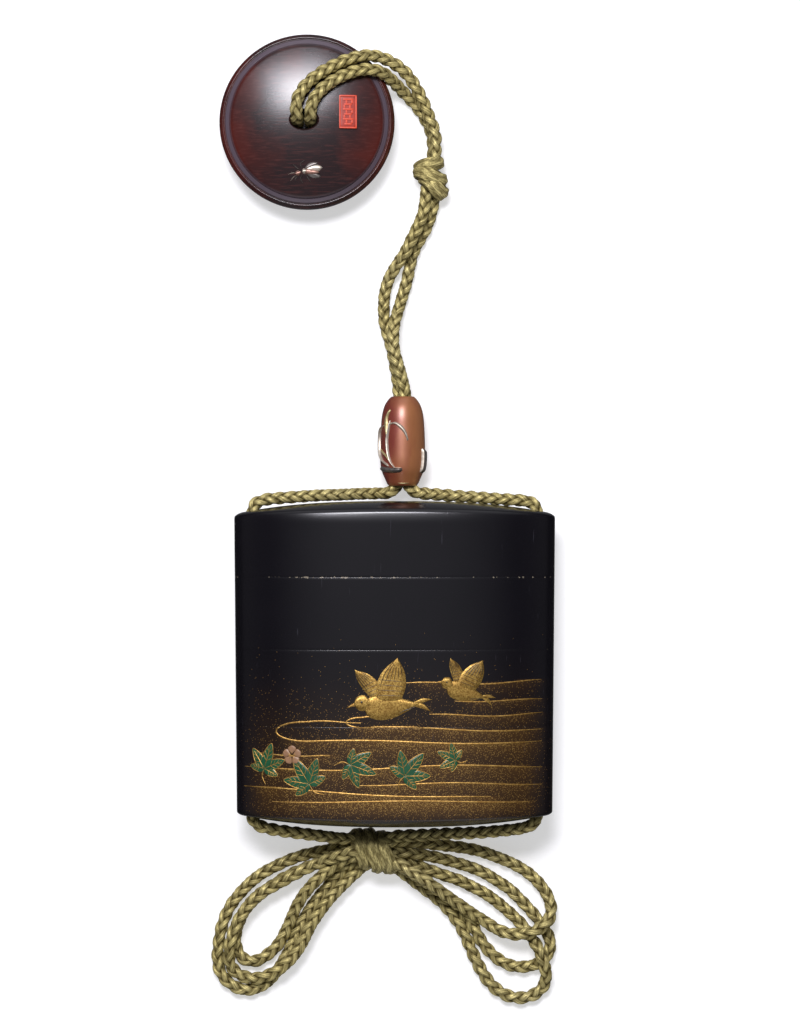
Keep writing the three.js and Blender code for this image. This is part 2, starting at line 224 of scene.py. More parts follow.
def smooth_line(points, step):
    """Points step apart along the centripetal Catmull-Rom curve through the given points.
    Each stretch blends straight lines between four neighbours, by knots that lie apart as the
    square root of their distances."""
    p = np.asarray(points, float)
    p = np.concatenate([[2 * p[0] - p[1]], p, [2 * p[-1] - p[-2]]])
    knots = np.concatenate([[0], np.cumsum(np.linalg.norm(np.diff(p, axis=0), axis=1) ** 0.5)])
    a, b, c, d = (p[i:len(p) - 3 + i, None, :] for i in range(4))
    ta, tb, tc, td = (knots[i:len(p) - 3 + i, None, None] for i in range(4))
    t = tb + (tc - tb) * np.linspace(0, 1, 24, endpoint=False)[None, :, None]
    ab = ((tb - t) * a + (t - ta) * b) / (tb - ta)
    bc = ((tc - t) * b + (t - tb) * c) / (tc - tb)
    cd = ((td - t) * c + (t - tc) * d) / (td - tc)
    abc = ((tc - t) * ab + (t - ta) * bc) / (tc - ta)
    bcd = ((td - t) * bc + (t - tb) * cd) / (td - tb)
    fine = (((tc - t) * abc + (t - tb) * bcd) / (tc - tb)).reshape(-1, p.shape[1])
    fine = np.concatenate([fine, p[-2:-1]])
    along = np.concatenate([[0], np.cumsum(np.linalg.norm(np.diff(fine, axis=0), axis=1))])
    count = max(int(round(along[-1] / step)), 2) + 1
    even = np.linspace(0, along[-1], count)
    return np.stack([np.interp(even, along, fine[:, k]) for k in range(p.shape[1])], axis=1)


def length_of(line):
    """The length of a line of points, straight from each to the next."""
    return float(np.linalg.norm(np.diff(line, axis=0), axis=1).sum())


def unit(vectors):
    """Vectors scaled to length one."""
    return vectors / np.linalg.norm(vectors, axis=-1, keepdims=True)


def carried_frames(line, up=(0, 0, 1)):
    """Along, up and across directions at each point of a line, with up carried on without twist
    by reflecting it from each point to the next."""
    along = unit(np.gradient(line, axis=0))
    up = np.asarray(up, float)
    up = unit(up - up.dot(along[0]) * along[0])
    ups = [up]
    for here, there, t0, t1 in zip(line[:-1], line[1:], along[:-1], along[1:]):
        step = there - here
        turned = up - 2 * step.dot(up) / step.dot(step) * step
        tangent = t0 - 2 * step.dot(t0) / step.dot(step) * step
        again = t1 - tangent
        size = again.dot(again)
        up = turned - (2 * again.dot(turned) / size * again if size > 1e-12 else 0)
        ups.append(up)
    ups = unit(np.array(ups))
    return along, ups, np.cross(along, ups)


# ---- materials ---------------------------------------------------------------------------


def colour(code):
    """A linear colour from an sRGB hex code."""
    parts = [int(code[i:i + 2], 16) / 255 for i in (0, 2, 4)]
    return tuple(p / 12.92 if p <= 0.04045 else ((p + 0.055) / 1.055) ** 2.4 for p in parts) + (1,)


def per_mm(size):
    """The scale that makes one cell of a pattern this many millimetres wide."""
    return 1 / (size * MM)


def add_node(tree, kind, sockets=None, **settings):
    """Adds a shader node. A socket's entry is a value, or another node's output to link to it."""
    new = tree.nodes.new("ShaderNode" + kind)
    for name, value in settings.items():
        setattr(new, name, value)
    for name, value in (sockets or {}).items():
        if isinstance(value, bpy.types.NodeSocket):
            tree.links.new(value, new.inputs[name])
        else:
            new.inputs[name].default_value = value
    return new


def start_material(name, **sockets):
    """A material's node tree and its Principled shader, with the given socket values."""
    material = bpy.data.materials.new(name)
    material.use_nodes = True
    tree = material.node_tree
    shader = tree.nodes["Principled BSDF"]
    for socket, value in sockets.items():
        shader.inputs[socket.replace("_", " ")].default_value = value
    return material, tree, shader


def lay_on(tree, shader, tint, height, strength, depth):
    """Gives a shader its colour, and a bump of a strength and a depth in millimetres that
    follows height."""
    tree.links.new(tint, shader.inputs["Base Color"])
    bump = add_node(tree, "Bump", {"Height": height, "Strength": strength, "Distance": depth * MM})
    tree.links.new(bump.outputs[0], shader.inputs["Normal"])


def gold_grains(tree, place, ground):
    """Grains of gold powder, which lie as thickly as ground says, and how bright each grain is.
    A grain is the middle of a cell 0.19 mm wide, which is coarser than the real dust, so that
    it shows."""
    cells = add_node(tree, "TexVoronoi", {"Vector": place, "Scale": per_mm(0.19)})
    pick = add_node(tree, "SeparateColor", {"Color": cells.outputs["Color"]}).outputs["Red"]
    chosen = add_node(tree, "Math", {0: ground, 1: pick}, operation="GREATER_THAN").outputs[0]
    dot = add_node(tree, "MapRange", {"Value": cells.outputs["Distance"], "From Min": 0.3,
                                      "From Max": 0.46, "To Min": 1.0, "To Max": 0.0}).outputs[0]
    powder = add_node(tree, "Math", {0: chosen, 1: dot}, operation="MULTIPLY").outputs[0]
    return powder, pick


def hairlines(tree, place):
    """Fine scratches from handling, all in one slanting direction."""
    slant = add_node(tree, "Mapping", {"Vector": place, "Rotation": (0.2, 0.3, 1.0),
                                       "Scale": (1.0, 0.06, 0.3)}).outputs[0]
    hairs = add_node(tree, "TexNoise", {"Vector": slant, "Scale": per_mm(0.34), "Detail": 1.0})
    return add_node(tree, "MapRange", {"Value": hairs.outputs["Fac"], "From Min": 0.75,
                                       "From Max": 0.83}).outputs[0]


def urushi_black():
    """Polished black urushi lacquer with gold powder sprinkled in it where the ground is gold.
    It is a deep, soft gloss. Handling has left hairlines, and chipped the joints' edges down to
    the pale wood."""
    material, tree, shader = start_material("urushi_black", Roughness=0.2, IOR=1.5)
    place = add_node(tree, "TexCoord").outputs["Object"]
    ground = add_node(tree, "Attribute", attribute_name="gold").outputs["Fac"]
    wear = add_node(tree, "Attribute", attribute_name="wear").outputs["Fac"]
    powder, pick = gold_grains(tree, place, ground)
    cloud = add_node(tree, "TexNoise", {"Vector": place, "Scale": per_mm(9), "Detail": 2.0})
    black = add_node(tree, "Mix", {0: cloud.outputs["Fac"], 6: colour("0C0B10"),
                                   7: colour("110F14")}, data_type="RGBA").outputs[2]
    brown = add_node(tree, "Mix", {0: ground, 6: black, 7: colour("5F421C")},
                     data_type="RGBA").outputs[2]
    tint = add_node(tree, "Mix", {0: pick, 6: colour("8E6A30"), 7: colour("DDB664")},
                    data_type="RGBA").outputs[2]
    gilded = add_node(tree, "Mix", {0: powder, 6: brown, 7: tint}, data_type="RGBA").outputs[2]
    chips = add_node(tree, "TexNoise", {"Vector": place, "Scale": per_mm(0.6), "Detail": 3.0})
    chipped = add_node(tree, "Math", {0: chips.outputs["Fac"], 1: wear},
                       operation="LESS_THAN").outputs[0]
    final = add_node(tree, "Mix", {0: chipped, 6: gilded, 7: colour("8A806F")},
                     data_type="RGBA").outputs[2]
    hairline = hairlines(tree, place)
    faint = add_node(tree, "Math", {0: hairline, 1: 0.14}, operation="MULTIPLY").outputs[0]
    scratched = add_node(tree, "Mix", {0: faint, 6: final, 7: colour("6E6C78")},
                         data_type="RGBA").outputs[2]
    metal = add_node(tree, "Math", {0: powder, 1: 0.6}, operation="MULTIPLY").outputs[0]
    tree.links.new(metal, shader.inputs["Metallic"])
    rough = add_node(tree, "MapRange", {"Value": powder, "To Min": 0.2, "To Max": 0.45})
    tree.links.new(rough.outputs[0], shader.inputs["Roughness"])
    height = add_node(tree, "Math", {0: powder, 1: hairline}, operation="SUBTRACT").outputs[0]
    lay_on(tree, shader, scratched, height, 0.25, 0.02)
    return material


def urushi_inside():
    """Nashiji, the inside of a good case: gold flakes deep in amber lacquer over black."""
    material, tree, shader = start_material("urushi_inside", Roughness=0.2, IOR=1.52)
    place = add_node(tree, "TexCoord").outputs["Object"]
    cells = add_node(tree, "TexVoronoi", {"Vector": place, "Scale": per_mm(0.3)})
    pick = add_node(tree, "SeparateColor", {"Color": cells.outputs["Color"]}).outputs["Red"]
    flake = add_node(tree, "Math", {0: pick, 1: 0.28}, operation="LESS_THAN").outputs[0]
    tint = add_node(tree, "Mix", {0: flake, 6: colour("2A120A"), 7: colour("9A6A2C")},
                    data_type="RGBA").outputs[2]
    tree.links.new(tint, shader.inputs["Base Color"])
    tree.links.new(flake, shader.inputs["Metallic"])
    return material


def gold_powder(name, light, dark, grain=0.22):
    """Sprinkled and polished gold powder over raised lacquer: a soft satin metal, not a mirror,
    with grains of powder and places rubbed darker."""
    material, tree, shader = start_material(name, Metallic=0.75, Roughness=0.42)
    place = add_node(tree, "TexCoord").outputs["Object"]
    cells = add_node(tree, "TexVoronoi", {"Vector": place, "Scale": per_mm(grain)})
    pick = add_node(tree, "SeparateColor", {"Color": cells.outputs["Color"]}).outputs["Green"]
    rubbed = add_node(tree, "TexNoise", {"Vector": place, "Scale": per_mm(2.2), "Detail": 3.0})
    mixed = add_node(tree, "Math", {0: pick, 1: rubbed.outputs["Fac"]},
                     operation="MULTIPLY").outputs[0]
    tint = add_node(tree, "MapRange", {"Value": mixed, "From Min": 0.0, "From Max": 0.55}).outputs[0]
    shade = add_node(tree, "Mix", {0: tint, 6: colour(dark), 7: colour(light)},
                     data_type="RGBA").outputs[2]
    lay_on(tree, shader, shade, pick, 0.35, 0.03)
    return material


def clouded(name, shades, cloud_size, detail, strength, depth, **sockets):
    """A finish of two close shades that cloud into each other, and that lies a little uneven with
    them: clouds cloud_size across, and a bump of a strength and a depth in millimetres."""
    material, tree, shader = start_material(name, **sockets)
    place = add_node(tree, "TexCoord").outputs["Object"]
    cloud = add_node(tree, "TexNoise", {"Vector": place, "Scale": per_mm(cloud_size),
                                        "Detail": detail}).outputs["Fac"]
    light, dark = shades
    tint = add_node(tree, "Mix", {0: cloud, 6: colour(dark), 7: colour(light)},
                    data_type="RGBA").outputs[2]
    lay_on(tree, shader, tint, cloud, strength, depth)
    return material


def leaf_green():
    """Green pigmented lacquer: an opaque, smooth colour, a little mottled where it thins."""
    return clouded("leaf_green", ("26603E", "123A26"), 1.4, 4.0, 0.15, 0.05, Roughness=0.28,
                   IOR=1.5)


def plain_lacquer(name, light, dark, roughness):
    """Coloured lacquer or pigment, almost even in its colour."""
    return clouded(name, (light, dark), 1.2, 3.0, 0.1, 0.05, Roughness=roughness, IOR=1.5)


def worn_flanks(tree, place, centred):
    """The toggle's brown, worn through to red in clouds at both flanks."""
    cloud = add_node(tree, "TexNoise", {"Vector": place, "Scale": per_mm(9), "Detail": 3.0,
                                        "Distortion": 0.4}).outputs["Fac"]
    apart = add_node(tree, "SeparateXYZ", {"Vector": centred}).outputs["X"]
    aside = add_node(tree, "Math", {0: apart}, operation="ABSOLUTE").outputs[0]
    flank = add_node(tree, "MapRange", {"Value": aside, "From Min": 6 * MM, "From Max": 16 * MM,
                                        "To Min": -0.1, "To Max": 0.3}).outputs[0]
    both = add_node(tree, "Math", {0: cloud, 1: flank}, operation="ADD").outputs[0]
    patch = add_node(tree, "MapRange", {"Value": both, "From Min": 0.4,
                                        "From Max": 0.85}).outputs[0]
    return add_node(tree, "Mix", {0: patch, 6: colour("241618"), 7: colour("4A1C17")},
                    data_type="RGBA").outputs[2]


def sloping_band(tree, centred):
    """The band round the toggle's face, where its colour holds a painted reflection: 1 between its
    step and its ring, and 0 elsewhere.
    """
    flat = add_node(tree, "VectorMath", {0: centred, 1: (1, 1, 0)}, operation="MULTIPLY")
    radius = add_node(tree, "VectorMath", {0: flat.outputs[0]}, operation="LENGTH")
    inside = add_node(tree, "MapRange", {"Value": radius.outputs["Value"],
                                         "From Min": 16.5 * MM, "From Max": 17.2 * MM})
    outside = add_node(tree, "MapRange", {"Value": radius.outputs["Value"],
                                          "From Min": 17.7 * MM, "From Max": 18.0 * MM})
    return add_node(tree, "Math", {0: inside.outputs[0], 1: outside.outputs[0]},
                    operation="SUBTRACT").outputs[0]


def toggle_lacquer():
    """Dark brown lacquer over turned wood. It is glossy, with a faint level grain from polishing
    and a scatter of pinholes. The sloping band round its face is coloured a dull grey: a
    painted reflection."""
    material, tree, shader = start_material("toggle_lacquer", Roughness=0.24, IOR=1.48)
    place = add_node(tree, "TexCoord").outputs["Object"]
    centred = add_node(tree, "Mapping", {
        "Vector": place, "Location": (-TOGGLE[0] * MM, -TOGGLE[1] * MM, 0)}).outputs[0]
    base = worn_flanks(tree, place, centred)
    level = add_node(tree, "Mapping", {"Vector": place, "Scale": (0.09, 1.0, 1.0)}).outputs[0]
    grain = add_node(tree, "TexNoise", {"Vector": level, "Scale": per_mm(0.4),
                                        "Detail": 3.0}).outputs["Fac"]
    fleck = add_node(tree, "MapRange", {"Value": grain, "From Min": 0.5, "From Max": 0.72,
                                        "To Max": 0.35}).outputs[0]
    tint = add_node(tree, "Mix", {0: fleck, 6: base, 7: colour("5E322E")},
                    data_type="RGBA").outputs[2]
    # Painted reflection: the sloping band is coloured a dull grey.
    rubbed = add_node(tree, "Mix", {0: sloping_band(tree, centred), 6: tint,
                                    7: colour("564B54")}, data_type="RGBA").outputs[2]
    pores = add_node(tree, "TexNoise", {"Vector": place, "Scale": per_mm(0.35), "Detail": 1.0})
    pinhole = add_node(tree, "MapRange", {"Value": pores.outputs["Fac"], "From Min": 0.25,
                                          "From Max": 0.33}).outputs[0]
    height = add_node(tree, "Math", {0: grain, 1: pinhole}, operation="ADD").outputs[0]
    lay_on(tree, shader, rubbed, height, 0.2, 0.02)
    return material


def patinated_copper():
    """Copper under a warm brown patina and a rubbed clear lacquer: the lacquer gives a soft pale
    shine, and the patina is redder on one flank and browner in soft clouds."""
    material, tree, shader = start_material("patinated_copper", Metallic=0.35, Roughness=0.45,
                                            Coat_Weight=0.8, Coat_Roughness=0.3)
    place = add_node(tree, "TexCoord").outputs["Object"]
    long_way = add_node(tree, "Mapping", {"Vector": place, "Scale": (1.0, 0.35, 1.0)}).outputs[0]
    cloud = add_node(tree, "TexNoise", {"Vector": long_way, "Scale": per_mm(3.4),
                                        "Detail": 4.0}).outputs["Fac"]
    across = add_node(tree, "SeparateXYZ", {"Vector": place}).outputs["X"]
    flank = add_node(tree, "MapRange", {"Value": across, "From Min": (BEAD_X - 3.5) * MM,
                                        "From Max": (BEAD_X + 3.0) * MM, "To Min": -0.3,
                                        "To Max": 0.35}).outputs[0]
    both = add_node(tree, "Math", {0: cloud, 1: flank}, operation="ADD").outputs[0]
    soft = add_node(tree, "MapRange", {"Value": both, "From Min": 0.25, "From Max": 0.8}).outputs[0]
    tint = add_node(tree, "Mix", {0: soft, 6: colour("84392C"), 7: colour("A86C42")},
                    data_type="RGBA").outputs[2]
    rub = add_node(tree, "TexNoise", {"Vector": long_way, "Scale": per_mm(0.3), "Detail": 2.0})
    lay_on(tree, shader, tint, rub.outputs["Fac"], 0.2, 0.02)
    return material


def worked_metal(name, light, dark, roughness):
    """A chased and rubbed metal, darker in its hollows."""
    return clouded(name, (light, dark), 0.6, 3.0, 0.3, 0.06, Metallic=0.6, Roughness=roughness)


def silk():
    """Reeled silk in a round plait. Each strand is a flat bundle of untwisted filaments. Its colour
    runs in fine streaks along its length, partly the filaments' own tone and partly painted
    sheen, and painted shade darkens it where it dips under its neighbours.
    The streaks are drawn about 0.3 mm apart, coarser than the real filaments, so that they
    show."""
    material, tree, shader = start_material("silk", Roughness=0.38, IOR=1.5, Metallic=0.25,
                                            Anisotropic=0.75, Anisotropic_Rotation=0.25,
                                            Specular_Tint=colour("E8DCA0"))
    grain = add_node(tree, "Tangent", direction_type="UV_MAP", uv_map="Lay").outputs[0]
    tree.links.new(grain, shader.inputs["Tangent"])
    lay = add_node(tree, "UVMap", uv_map="Lay").outputs[0]
    # U runs in millimetres along a strand and V once round it.
    fine = add_node(tree, "Mapping", {"Vector": lay, "Scale": (0.35, 14.0, 1.0)}).outputs[0]
    streak = add_node(tree, "TexNoise", {"Vector": fine, "Scale": 1.0, "Detail": 3.0,
                                         "Roughness": 0.7}).outputs["Fac"]
    # The streaks in the colour are partly the filaments' own tone and partly painted sheen.
    spread = add_node(tree, "MapRange", {"Value": streak, "From Min": 0.42, "From Max": 0.58,
                                         "To Min": 0.3}).outputs[0]
    # Painted shade: the colour darkens where a strand lies low, under its neighbours.
    proud = add_node(tree, "Attribute", attribute_name="proud").outputs["Fac"]
    lit = add_node(tree, "MapRange", {"Value": proud, "From Min": 0.35, "From Max": 0.9}).outputs[0]
    shown = add_node(tree, "Math", {0: spread, 1: lit}, operation="MULTIPLY").outputs[0]
    place = add_node(tree, "TexCoord").outputs["Object"]
    fade = add_node(tree, "TexNoise", {"Vector": place, "Scale": per_mm(14), "Detail": 2.0})
    worn = add_node(tree, "Mix", {0: fade.outputs["Fac"], 6: colour("CDBD76"),
                                  7: colour("E4D698")}, data_type="RGBA").outputs[2]
    # The dark colour is the painted shade and the dark streaks; the light one is the silk's own
    # tone.
    tint = add_node(tree, "Mix", {0: shown, 6: colour("403312"), 7: worn},
                    data_type="RGBA").outputs[2]
    lay_on(tree, shader, tint, streak, 0.9, 0.2)
    return material


SILK = silk()
URUSHI = urushi_black()
URUSHI_INSIDE = urushi_inside()
# The gold of the lines is bright and coarse, and that of the birds finer, softer and browner.
GOLD = gold_powder("gold_line", "C8A058", "8A6428", 0.3)
GOLD_SOFT = gold_powder("gold_ground", "BC9A50", "745420")
GREEN = leaf_green()
# Black-brown lacquer for the feathers, a dull pink for the blossoms, and cinnabar red, darker in
# the seal's recessed ground than on its raised border and strokes.
INK = plain_lacquer("ink_line", "2A1C10", "150D08", 0.35)
PETAL = plain_lacquer("petal_pink", "A88460", "7C5640", 0.4)
VERMILION = plain_lacquer("vermilion", "E2502E", "C23E24", 0.4)
VERMILION_DARKER = plain_lacquer("vermilion_darker", "B03018", "842212", 0.45)
TOGGLE_LACQUER = toggle_lacquer()
COPPER = patinated_copper()
# Pale gold, rubbed silver, silver with a dark tarnish, and bright copper. On the bead the silver
# also paints highlights, and the dark metal the fence post's shade.
INLAY_GOLD = worked_metal("inlay_gold", "D6C896", "8C7648", 0.4)
INLAY_SILVER = worked_metal("inlay_silver", "EAE0D0", "A29686", 0.42)
INLAY_DARK = worked_metal("inlay_dark", "8E8782", "4A4440", 0.38)
INLAY_COPPER = worked_metal("inlay_copper", "CFA493", "7A5248", 0.32)

# ---- camera ------------------------------------------------------------------------------

# In metres, but for the lens, which is in millimetres.
CAMERA_HEIGHT = 0.9
CAMERA_ASIDE = (0.00345, 0.0005)
LENS = 141.7


def make_camera():
    """A long lens straight above, which takes the whole set from toggle to bow."""
    data = bpy.data.cameras.new("camera")
    data.sensor_width = 36
    data.lens = LENS
    data.clip_end = 10
    camera = bpy.data.objects.new("camera", data)
    low, high = (np.array(corner) for corner in cad_box)
    middle = (low + high) / 2
    camera.location = (middle[0] + CAMERA_ASIDE[0], middle[1] + CAMERA_ASIDE[1], CAMERA_HEIGHT)
    bpy.context.scene.collection.objects.link(camera)
    bpy.context.scene.camera = camera


make_camera()

# ---- the cord ----------------------------------------------------------------------------

# CORD is the cord's thickness. PLAIT is the plait's own, over its strands' backs. A strand goes
# once round in TIGHT_PITCH, or in LOOSE_PITCH in the bow, where nothing pulls on the cord. Its
# rings of STRAND_SIDES points are STRAND_STEP apart. A turn that is pulled flat in a knot has
# rings of FLAT_SIDES points, none of them nearer to the floor than FLOOR_GAP.
CORD = 2.8
PLAIT = 1.07 * CORD
STRAND_SIDES = 10
STRAND_STEP = 0.42
FLAT_SIDES = 40
FLOOR_GAP = 0.02
TIGHT_PITCH = 10.6
LOOSE_PITCH = 12.0


def plait(line, pitch):
    """A round plait of eight strands carried along a line, as points, faces, UVs and how proud
    each point lies. Four strands wind one way and four the other. At an angle a round the cord,
    a strand's middle lies at radius mid + sway cos(2a - 45 deg) one way and mid less that the
    other, so that each passes over two and under two, and each side of the cord shows two rows
    of slanting lobes, one row half a step on from the other."""
    line = smooth_line(line, STRAND_STEP)
    _, ups, across = carried_frames(line)
    s = np.arange(len(line)) * length_of(line) / (len(line) - 1)
    mid, sway, wide, thick = PLAIT * np.array([0.21, 0.125, 0.222, 0.165])
    # The plait turns a little to and fro as it goes.
    drift = math.pi / 8 + 0.22 * np.sin(s / 9.0)
    around = np.linspace(0, 2 * math.pi, STRAND_SIDES, endpoint=False)
    parts, uvs, proud = [], [], []
    for sense in (1, -1):
        for quarter in range(4):
            angle = sense * 2 * math.pi * s / pitch + quarter * math.pi / 2
            crest = sense * np.cos(2 * angle - math.pi / 4)
            angle = angle + drift
            out = np.cos(angle)[:, None] * across + np.sin(angle)[:, None] * ups
            middle = line + (mid + sway * crest)[:, None] * out
            along = unit(np.gradient(middle, axis=0))
            rise = unit(out - (out * along).sum(1, keepdims=True) * along)
            side = np.cross(along, rise)
            ring = (middle[:, None]
                    + thick * np.cos(around)[None, :, None] * rise[:, None]
                    + wide * np.sin(around)[None, :, None] * side[:, None])
            parts.append(closed_rings(ring))
            # A strand is a tenth longer than the cord. Each starts 37 mm further on in U than
            # the last, so that no two have the same filaments.
            uvs.append(strand_uv(s * 1.1 + 37 * len(uvs), STRAND_SIDES))
            # How proud each point lies, which the silk turns into painted shade where a strand dips
            # under its neighbours.
            level = (0.5 + 0.5 * crest)[:, None] * (0.5 + 0.5 * np.cos(around)) ** 0.7
            proud.append(np.concatenate([level.ravel(), [0, 0]]))
    points, faces = joined(parts)
    return points, faces, [u for part in uvs for u in part], np.concatenate(proud), line


def silk_piece(name, points, faces, uv, proud, replaces):
    """A piece of plaited silk, with how proud each point lies kept as an attribute for its painted
    shade.
    """
    piece = make_piece(name, points, faces, uv, sharp=None)
    layer = piece.data.attributes.new("proud", "FLOAT", "POINT")
    layer.data.foreach_set("value", proud.astype(np.float32))
    return keep(piece, "silk", SILK, replaces=replaces)


def strand_uv(along, sides):
    """UVs of a strand's quads and end fans: U is the distance along it and V goes once round."""
    row, column = np.meshgrid(np.arange(len(along) - 1), np.arange(sides), indexing="ij")
    near, far = along[row].ravel(), along[row + 1].ravel()
    v0, v1 = column.ravel() / sides, (column.ravel() + 1) / sides
    quads = np.stack([near, v0, near, v1, far, v1, far, v0], axis=-1)
    fans = [np.full((sides, 6), along[end]) for end in (0, -1)]
    return [quads, *fans]


def cord_piece(name, route, replaced, pitch=TIGHT_PITCH):
    """A length of the plaited cord along a route in millimetres."""
    points, faces, uv, proud, line = plait(route, pitch)
    piece = silk_piece(name, points, faces, uv, proud, replaced)
    return piece


# The routes are the CAD model's own, in millimetres. Where a strand goes on out of sight, into
# the toggle, the bead or a knot, a point or two more is added to its end.
NETSUKE_OUTER = [
    (-21.25, 118.6, 5.2), (-21.25, 118.8, 10.6), (-21.35, 119.7, 13.6), (-21.3, 122.2, 14.5),
    (-19.7, 125.4, 14.1), (-16.7, 128.2, 13.3), (-13.0, 130.4, 12.6), (-9.2, 132.0, 11.6),
    (-5.1, 132.8, 9.4), (-1.1, 131.8, 7.3), (2.5, 129.3, 5.8), (5.4, 124.9, 4.7),
    (7.4, 120.2, 4.3), (8.8, 116.2, 4.3), (8.9, 112.4, 4.5), (8.7, 109.0, 4.4),
]
NETSUKE_INNER = [
    (-18.35, 118.6, 5.2), (-18.35, 118.8, 10.6), (-18.3, 119.6, 13.5), (-18.0, 121.7, 14.4),
    (-16.6, 124.2, 14.0), (-13.9, 126.6, 13.1), (-10.6, 128.4, 12.4), (-7.0, 129.5, 11.8),
    (-3.4, 129.3, 10.3), (-0.6, 127.6, 6.7), (1.9, 125.4, 3.1), (4.4, 123.0, 1.6),
    (6.6, 120.0, 1.4), (8.2, 116.3, 1.4), (8.5, 112.4, 1.6), (8.4, 109.0, 2.2),
]
MIDDLE_LEFT = [
    (7.0, 104.6, 3.4), (6.7, 101.5, 3.6), (6.2, 98.6, 3.8), (5.0, 95.7, 4.0), (3.6, 92.8, 4.3),
    (2.2, 90.0, 4.2), (0.3, 87.2, 3.0), (-1.3, 84.4, 1.6), (-2.2, 81.2, 1.4),
    (-2.4, 77.9, 1.4), (-2.2, 74.8, 1.4), (-1.4, 71.8, 1.4), (-0.6, 69.0, 1.6),
    (0.0, 65.8, 2.4), (0.6, 62.4, 3.1), (0.9, 59.1, 3.9), (1.0, 56.2, 4.4),
]
MIDDLE_RIGHT = [
    (8.6, 104.6, 2.0), (8.6, 101.5, 1.4), (8.0, 98.7, 1.4), (7.0, 95.8, 1.4), (5.4, 92.9, 1.4),
    (4.0, 90.0, 1.4), (3.3, 87.1, 1.4), (2.7, 84.1, 1.4), (1.8, 81.0, 1.4),
    (0.9, 78.0, 1.9), (0.0, 74.8, 3.4), (-0.3, 71.6, 4.4), (-0.1, 68.6, 5.1),
    (0.7, 65.6, 5.7), (1.6, 62.4, 6.0), (2.3, 59.1, 5.9), (2.5, 56.2, 5.5),
]
CASE_LEFT = [
    (0.9, 41.5, 4.95), (0.5, 38.9, 4.95), (-1.3, 37.4, 5.4), (-3.8, 37.2, 6.2),
    (-7.4, 37.1, 7.5), (-11.6, 36.9, 8.7), (-16.2, 36.75, 9.6), (-20.8, 36.45, 10.2),
    (-24.9, 36.15, 10.5), (-28.2, 35.8, 10.5), (-30.35, 34.9, 10.5), (-31.05, 33.0, 10.5),
    (-31.1, 30.0, 10.5), (-31.1, 10.0, 10.5), (-31.1, -10.0, 10.5), (-31.1, -30.5, 10.5),
    (-31.05, -33.0, 10.5), (-30.3, -34.8, 10.5), (-28.2, -35.75, 10.5), (-24.6, -36.45, 10.3),
    (-20.4, -37.05, 9.8), (-16.2, -37.65, 8.9), (-12.6, -38.2, 7.8), (-9.7, -38.5, 6.9),
    (-6.4, -38.9, 6.0),
]
CASE_RIGHT = [
    (2.6, 41.5, 4.95), (3.0, 38.9, 4.95), (4.8, 37.4, 5.4), (7.4, 37.1, 6.2),
    (10.8, 36.85, 7.5), (14.6, 36.5, 8.6), (18.6, 36.25, 9.5), (22.4, 35.95, 10.2),
    (25.7, 35.75, 10.5), (28.5, 35.5, 10.5), (30.45, 34.75, 10.5), (31.05, 33.0, 10.5),
    (31.1, 30.0, 10.5), (31.1, 10.0, 10.5), (31.1, -10.0, 10.5), (31.1, -30.5, 10.5),
    (31.05, -33.0, 10.5), (30.3, -34.8, 10.5), (28.2, -35.75, 10.5), (23.6, -36.4, 10.2),
    (18.0, -36.9, 9.6), (12.0, -37.2, 8.6), (6.0, -37.6, 7.4), (0.5, -37.9, 6.7),
    (-3.0, -38.6, 5.8),
]

# The bow's three loops on each side, each from the knot round and back to it. The CAD model
# has each side as one bundle, so the loops' routes are here alone. A loop that crosses another
# rises over it in a low hump.
LEFT_OUTER = [
    (-6.6, -40.5, 4.6),
    (-9.4, -40.2, 4.0), (-12.5, -40.8, 3.0), (-16.0, -41.5, 2.0), (-19.8, -42.4, 1.4),
    (-23.1, -43.5, 1.4), (-26.2, -44.9, 1.4), (-29.2, -46.5, 1.4), (-31.9, -48.6, 1.4),
    (-34.1, -50.9, 1.4), (-35.9, -53.2, 1.4), (-37.3, -55.9, 1.4), (-38.3, -59.0, 1.4),
    (-38.8, -62.3, 1.4), (-39.0, -65.1, 1.4), (-38.5, -68.0, 1.4), (-36.5, -70.6, 1.4),
    (-33.4, -72.1, 1.4), (-30.3, -71.7, 1.4), (-27.5, -69.9, 1.4), (-25.1, -66.7, 1.4),
    (-23.1, -63.1, 1.4), (-21.3, -59.4, 1.4), (-19.5, -55.7, 1.4), (-17.3, -52.4, 1.4),
    (-14.7, -49.3, 1.6), (-12.0, -46.3, 2.4), (-9.2, -43.6, 3.6),
    (-6.6, -42.2, 4.3),
]
LEFT_MIDDLE = [
    (-6.5, -40.7, 6.4),
    (-9.1, -41.1, 7.5), (-12.0, -42.1, 6.6), (-14.6, -43.0, 5.5), (-17.5, -44.2, 4.4),
    (-20.1, -45.5, 4.2), (-22.8, -46.9, 4.2), (-25.6, -48.5, 4.2), (-28.5, -50.1, 4.2),
    (-30.9, -52.1, 4.2), (-32.9, -54.3, 4.2), (-34.5, -56.9, 4.2), (-35.6, -59.8, 4.2),
    (-36.3, -62.7, 4.0), (-36.4, -65.2, 3.2), (-35.6, -67.5, 2.2), (-33.4, -69.1, 1.9),
    (-30.5, -69.5, 2.7), (-27.4, -68.5, 3.6), (-24.3, -66.5, 4.0), (-21.7, -63.7, 4.2),
    (-19.9, -60.7, 4.2), (-18.5, -57.8, 4.2), (-16.6, -54.9, 4.0), (-14.2, -51.8, 3.6),
    (-11.6, -49.1, 3.2), (-9.2, -46.8, 3.0), (-7.4, -45.2, 3.2),
    (-5.4, -43.7, 3.6),
]
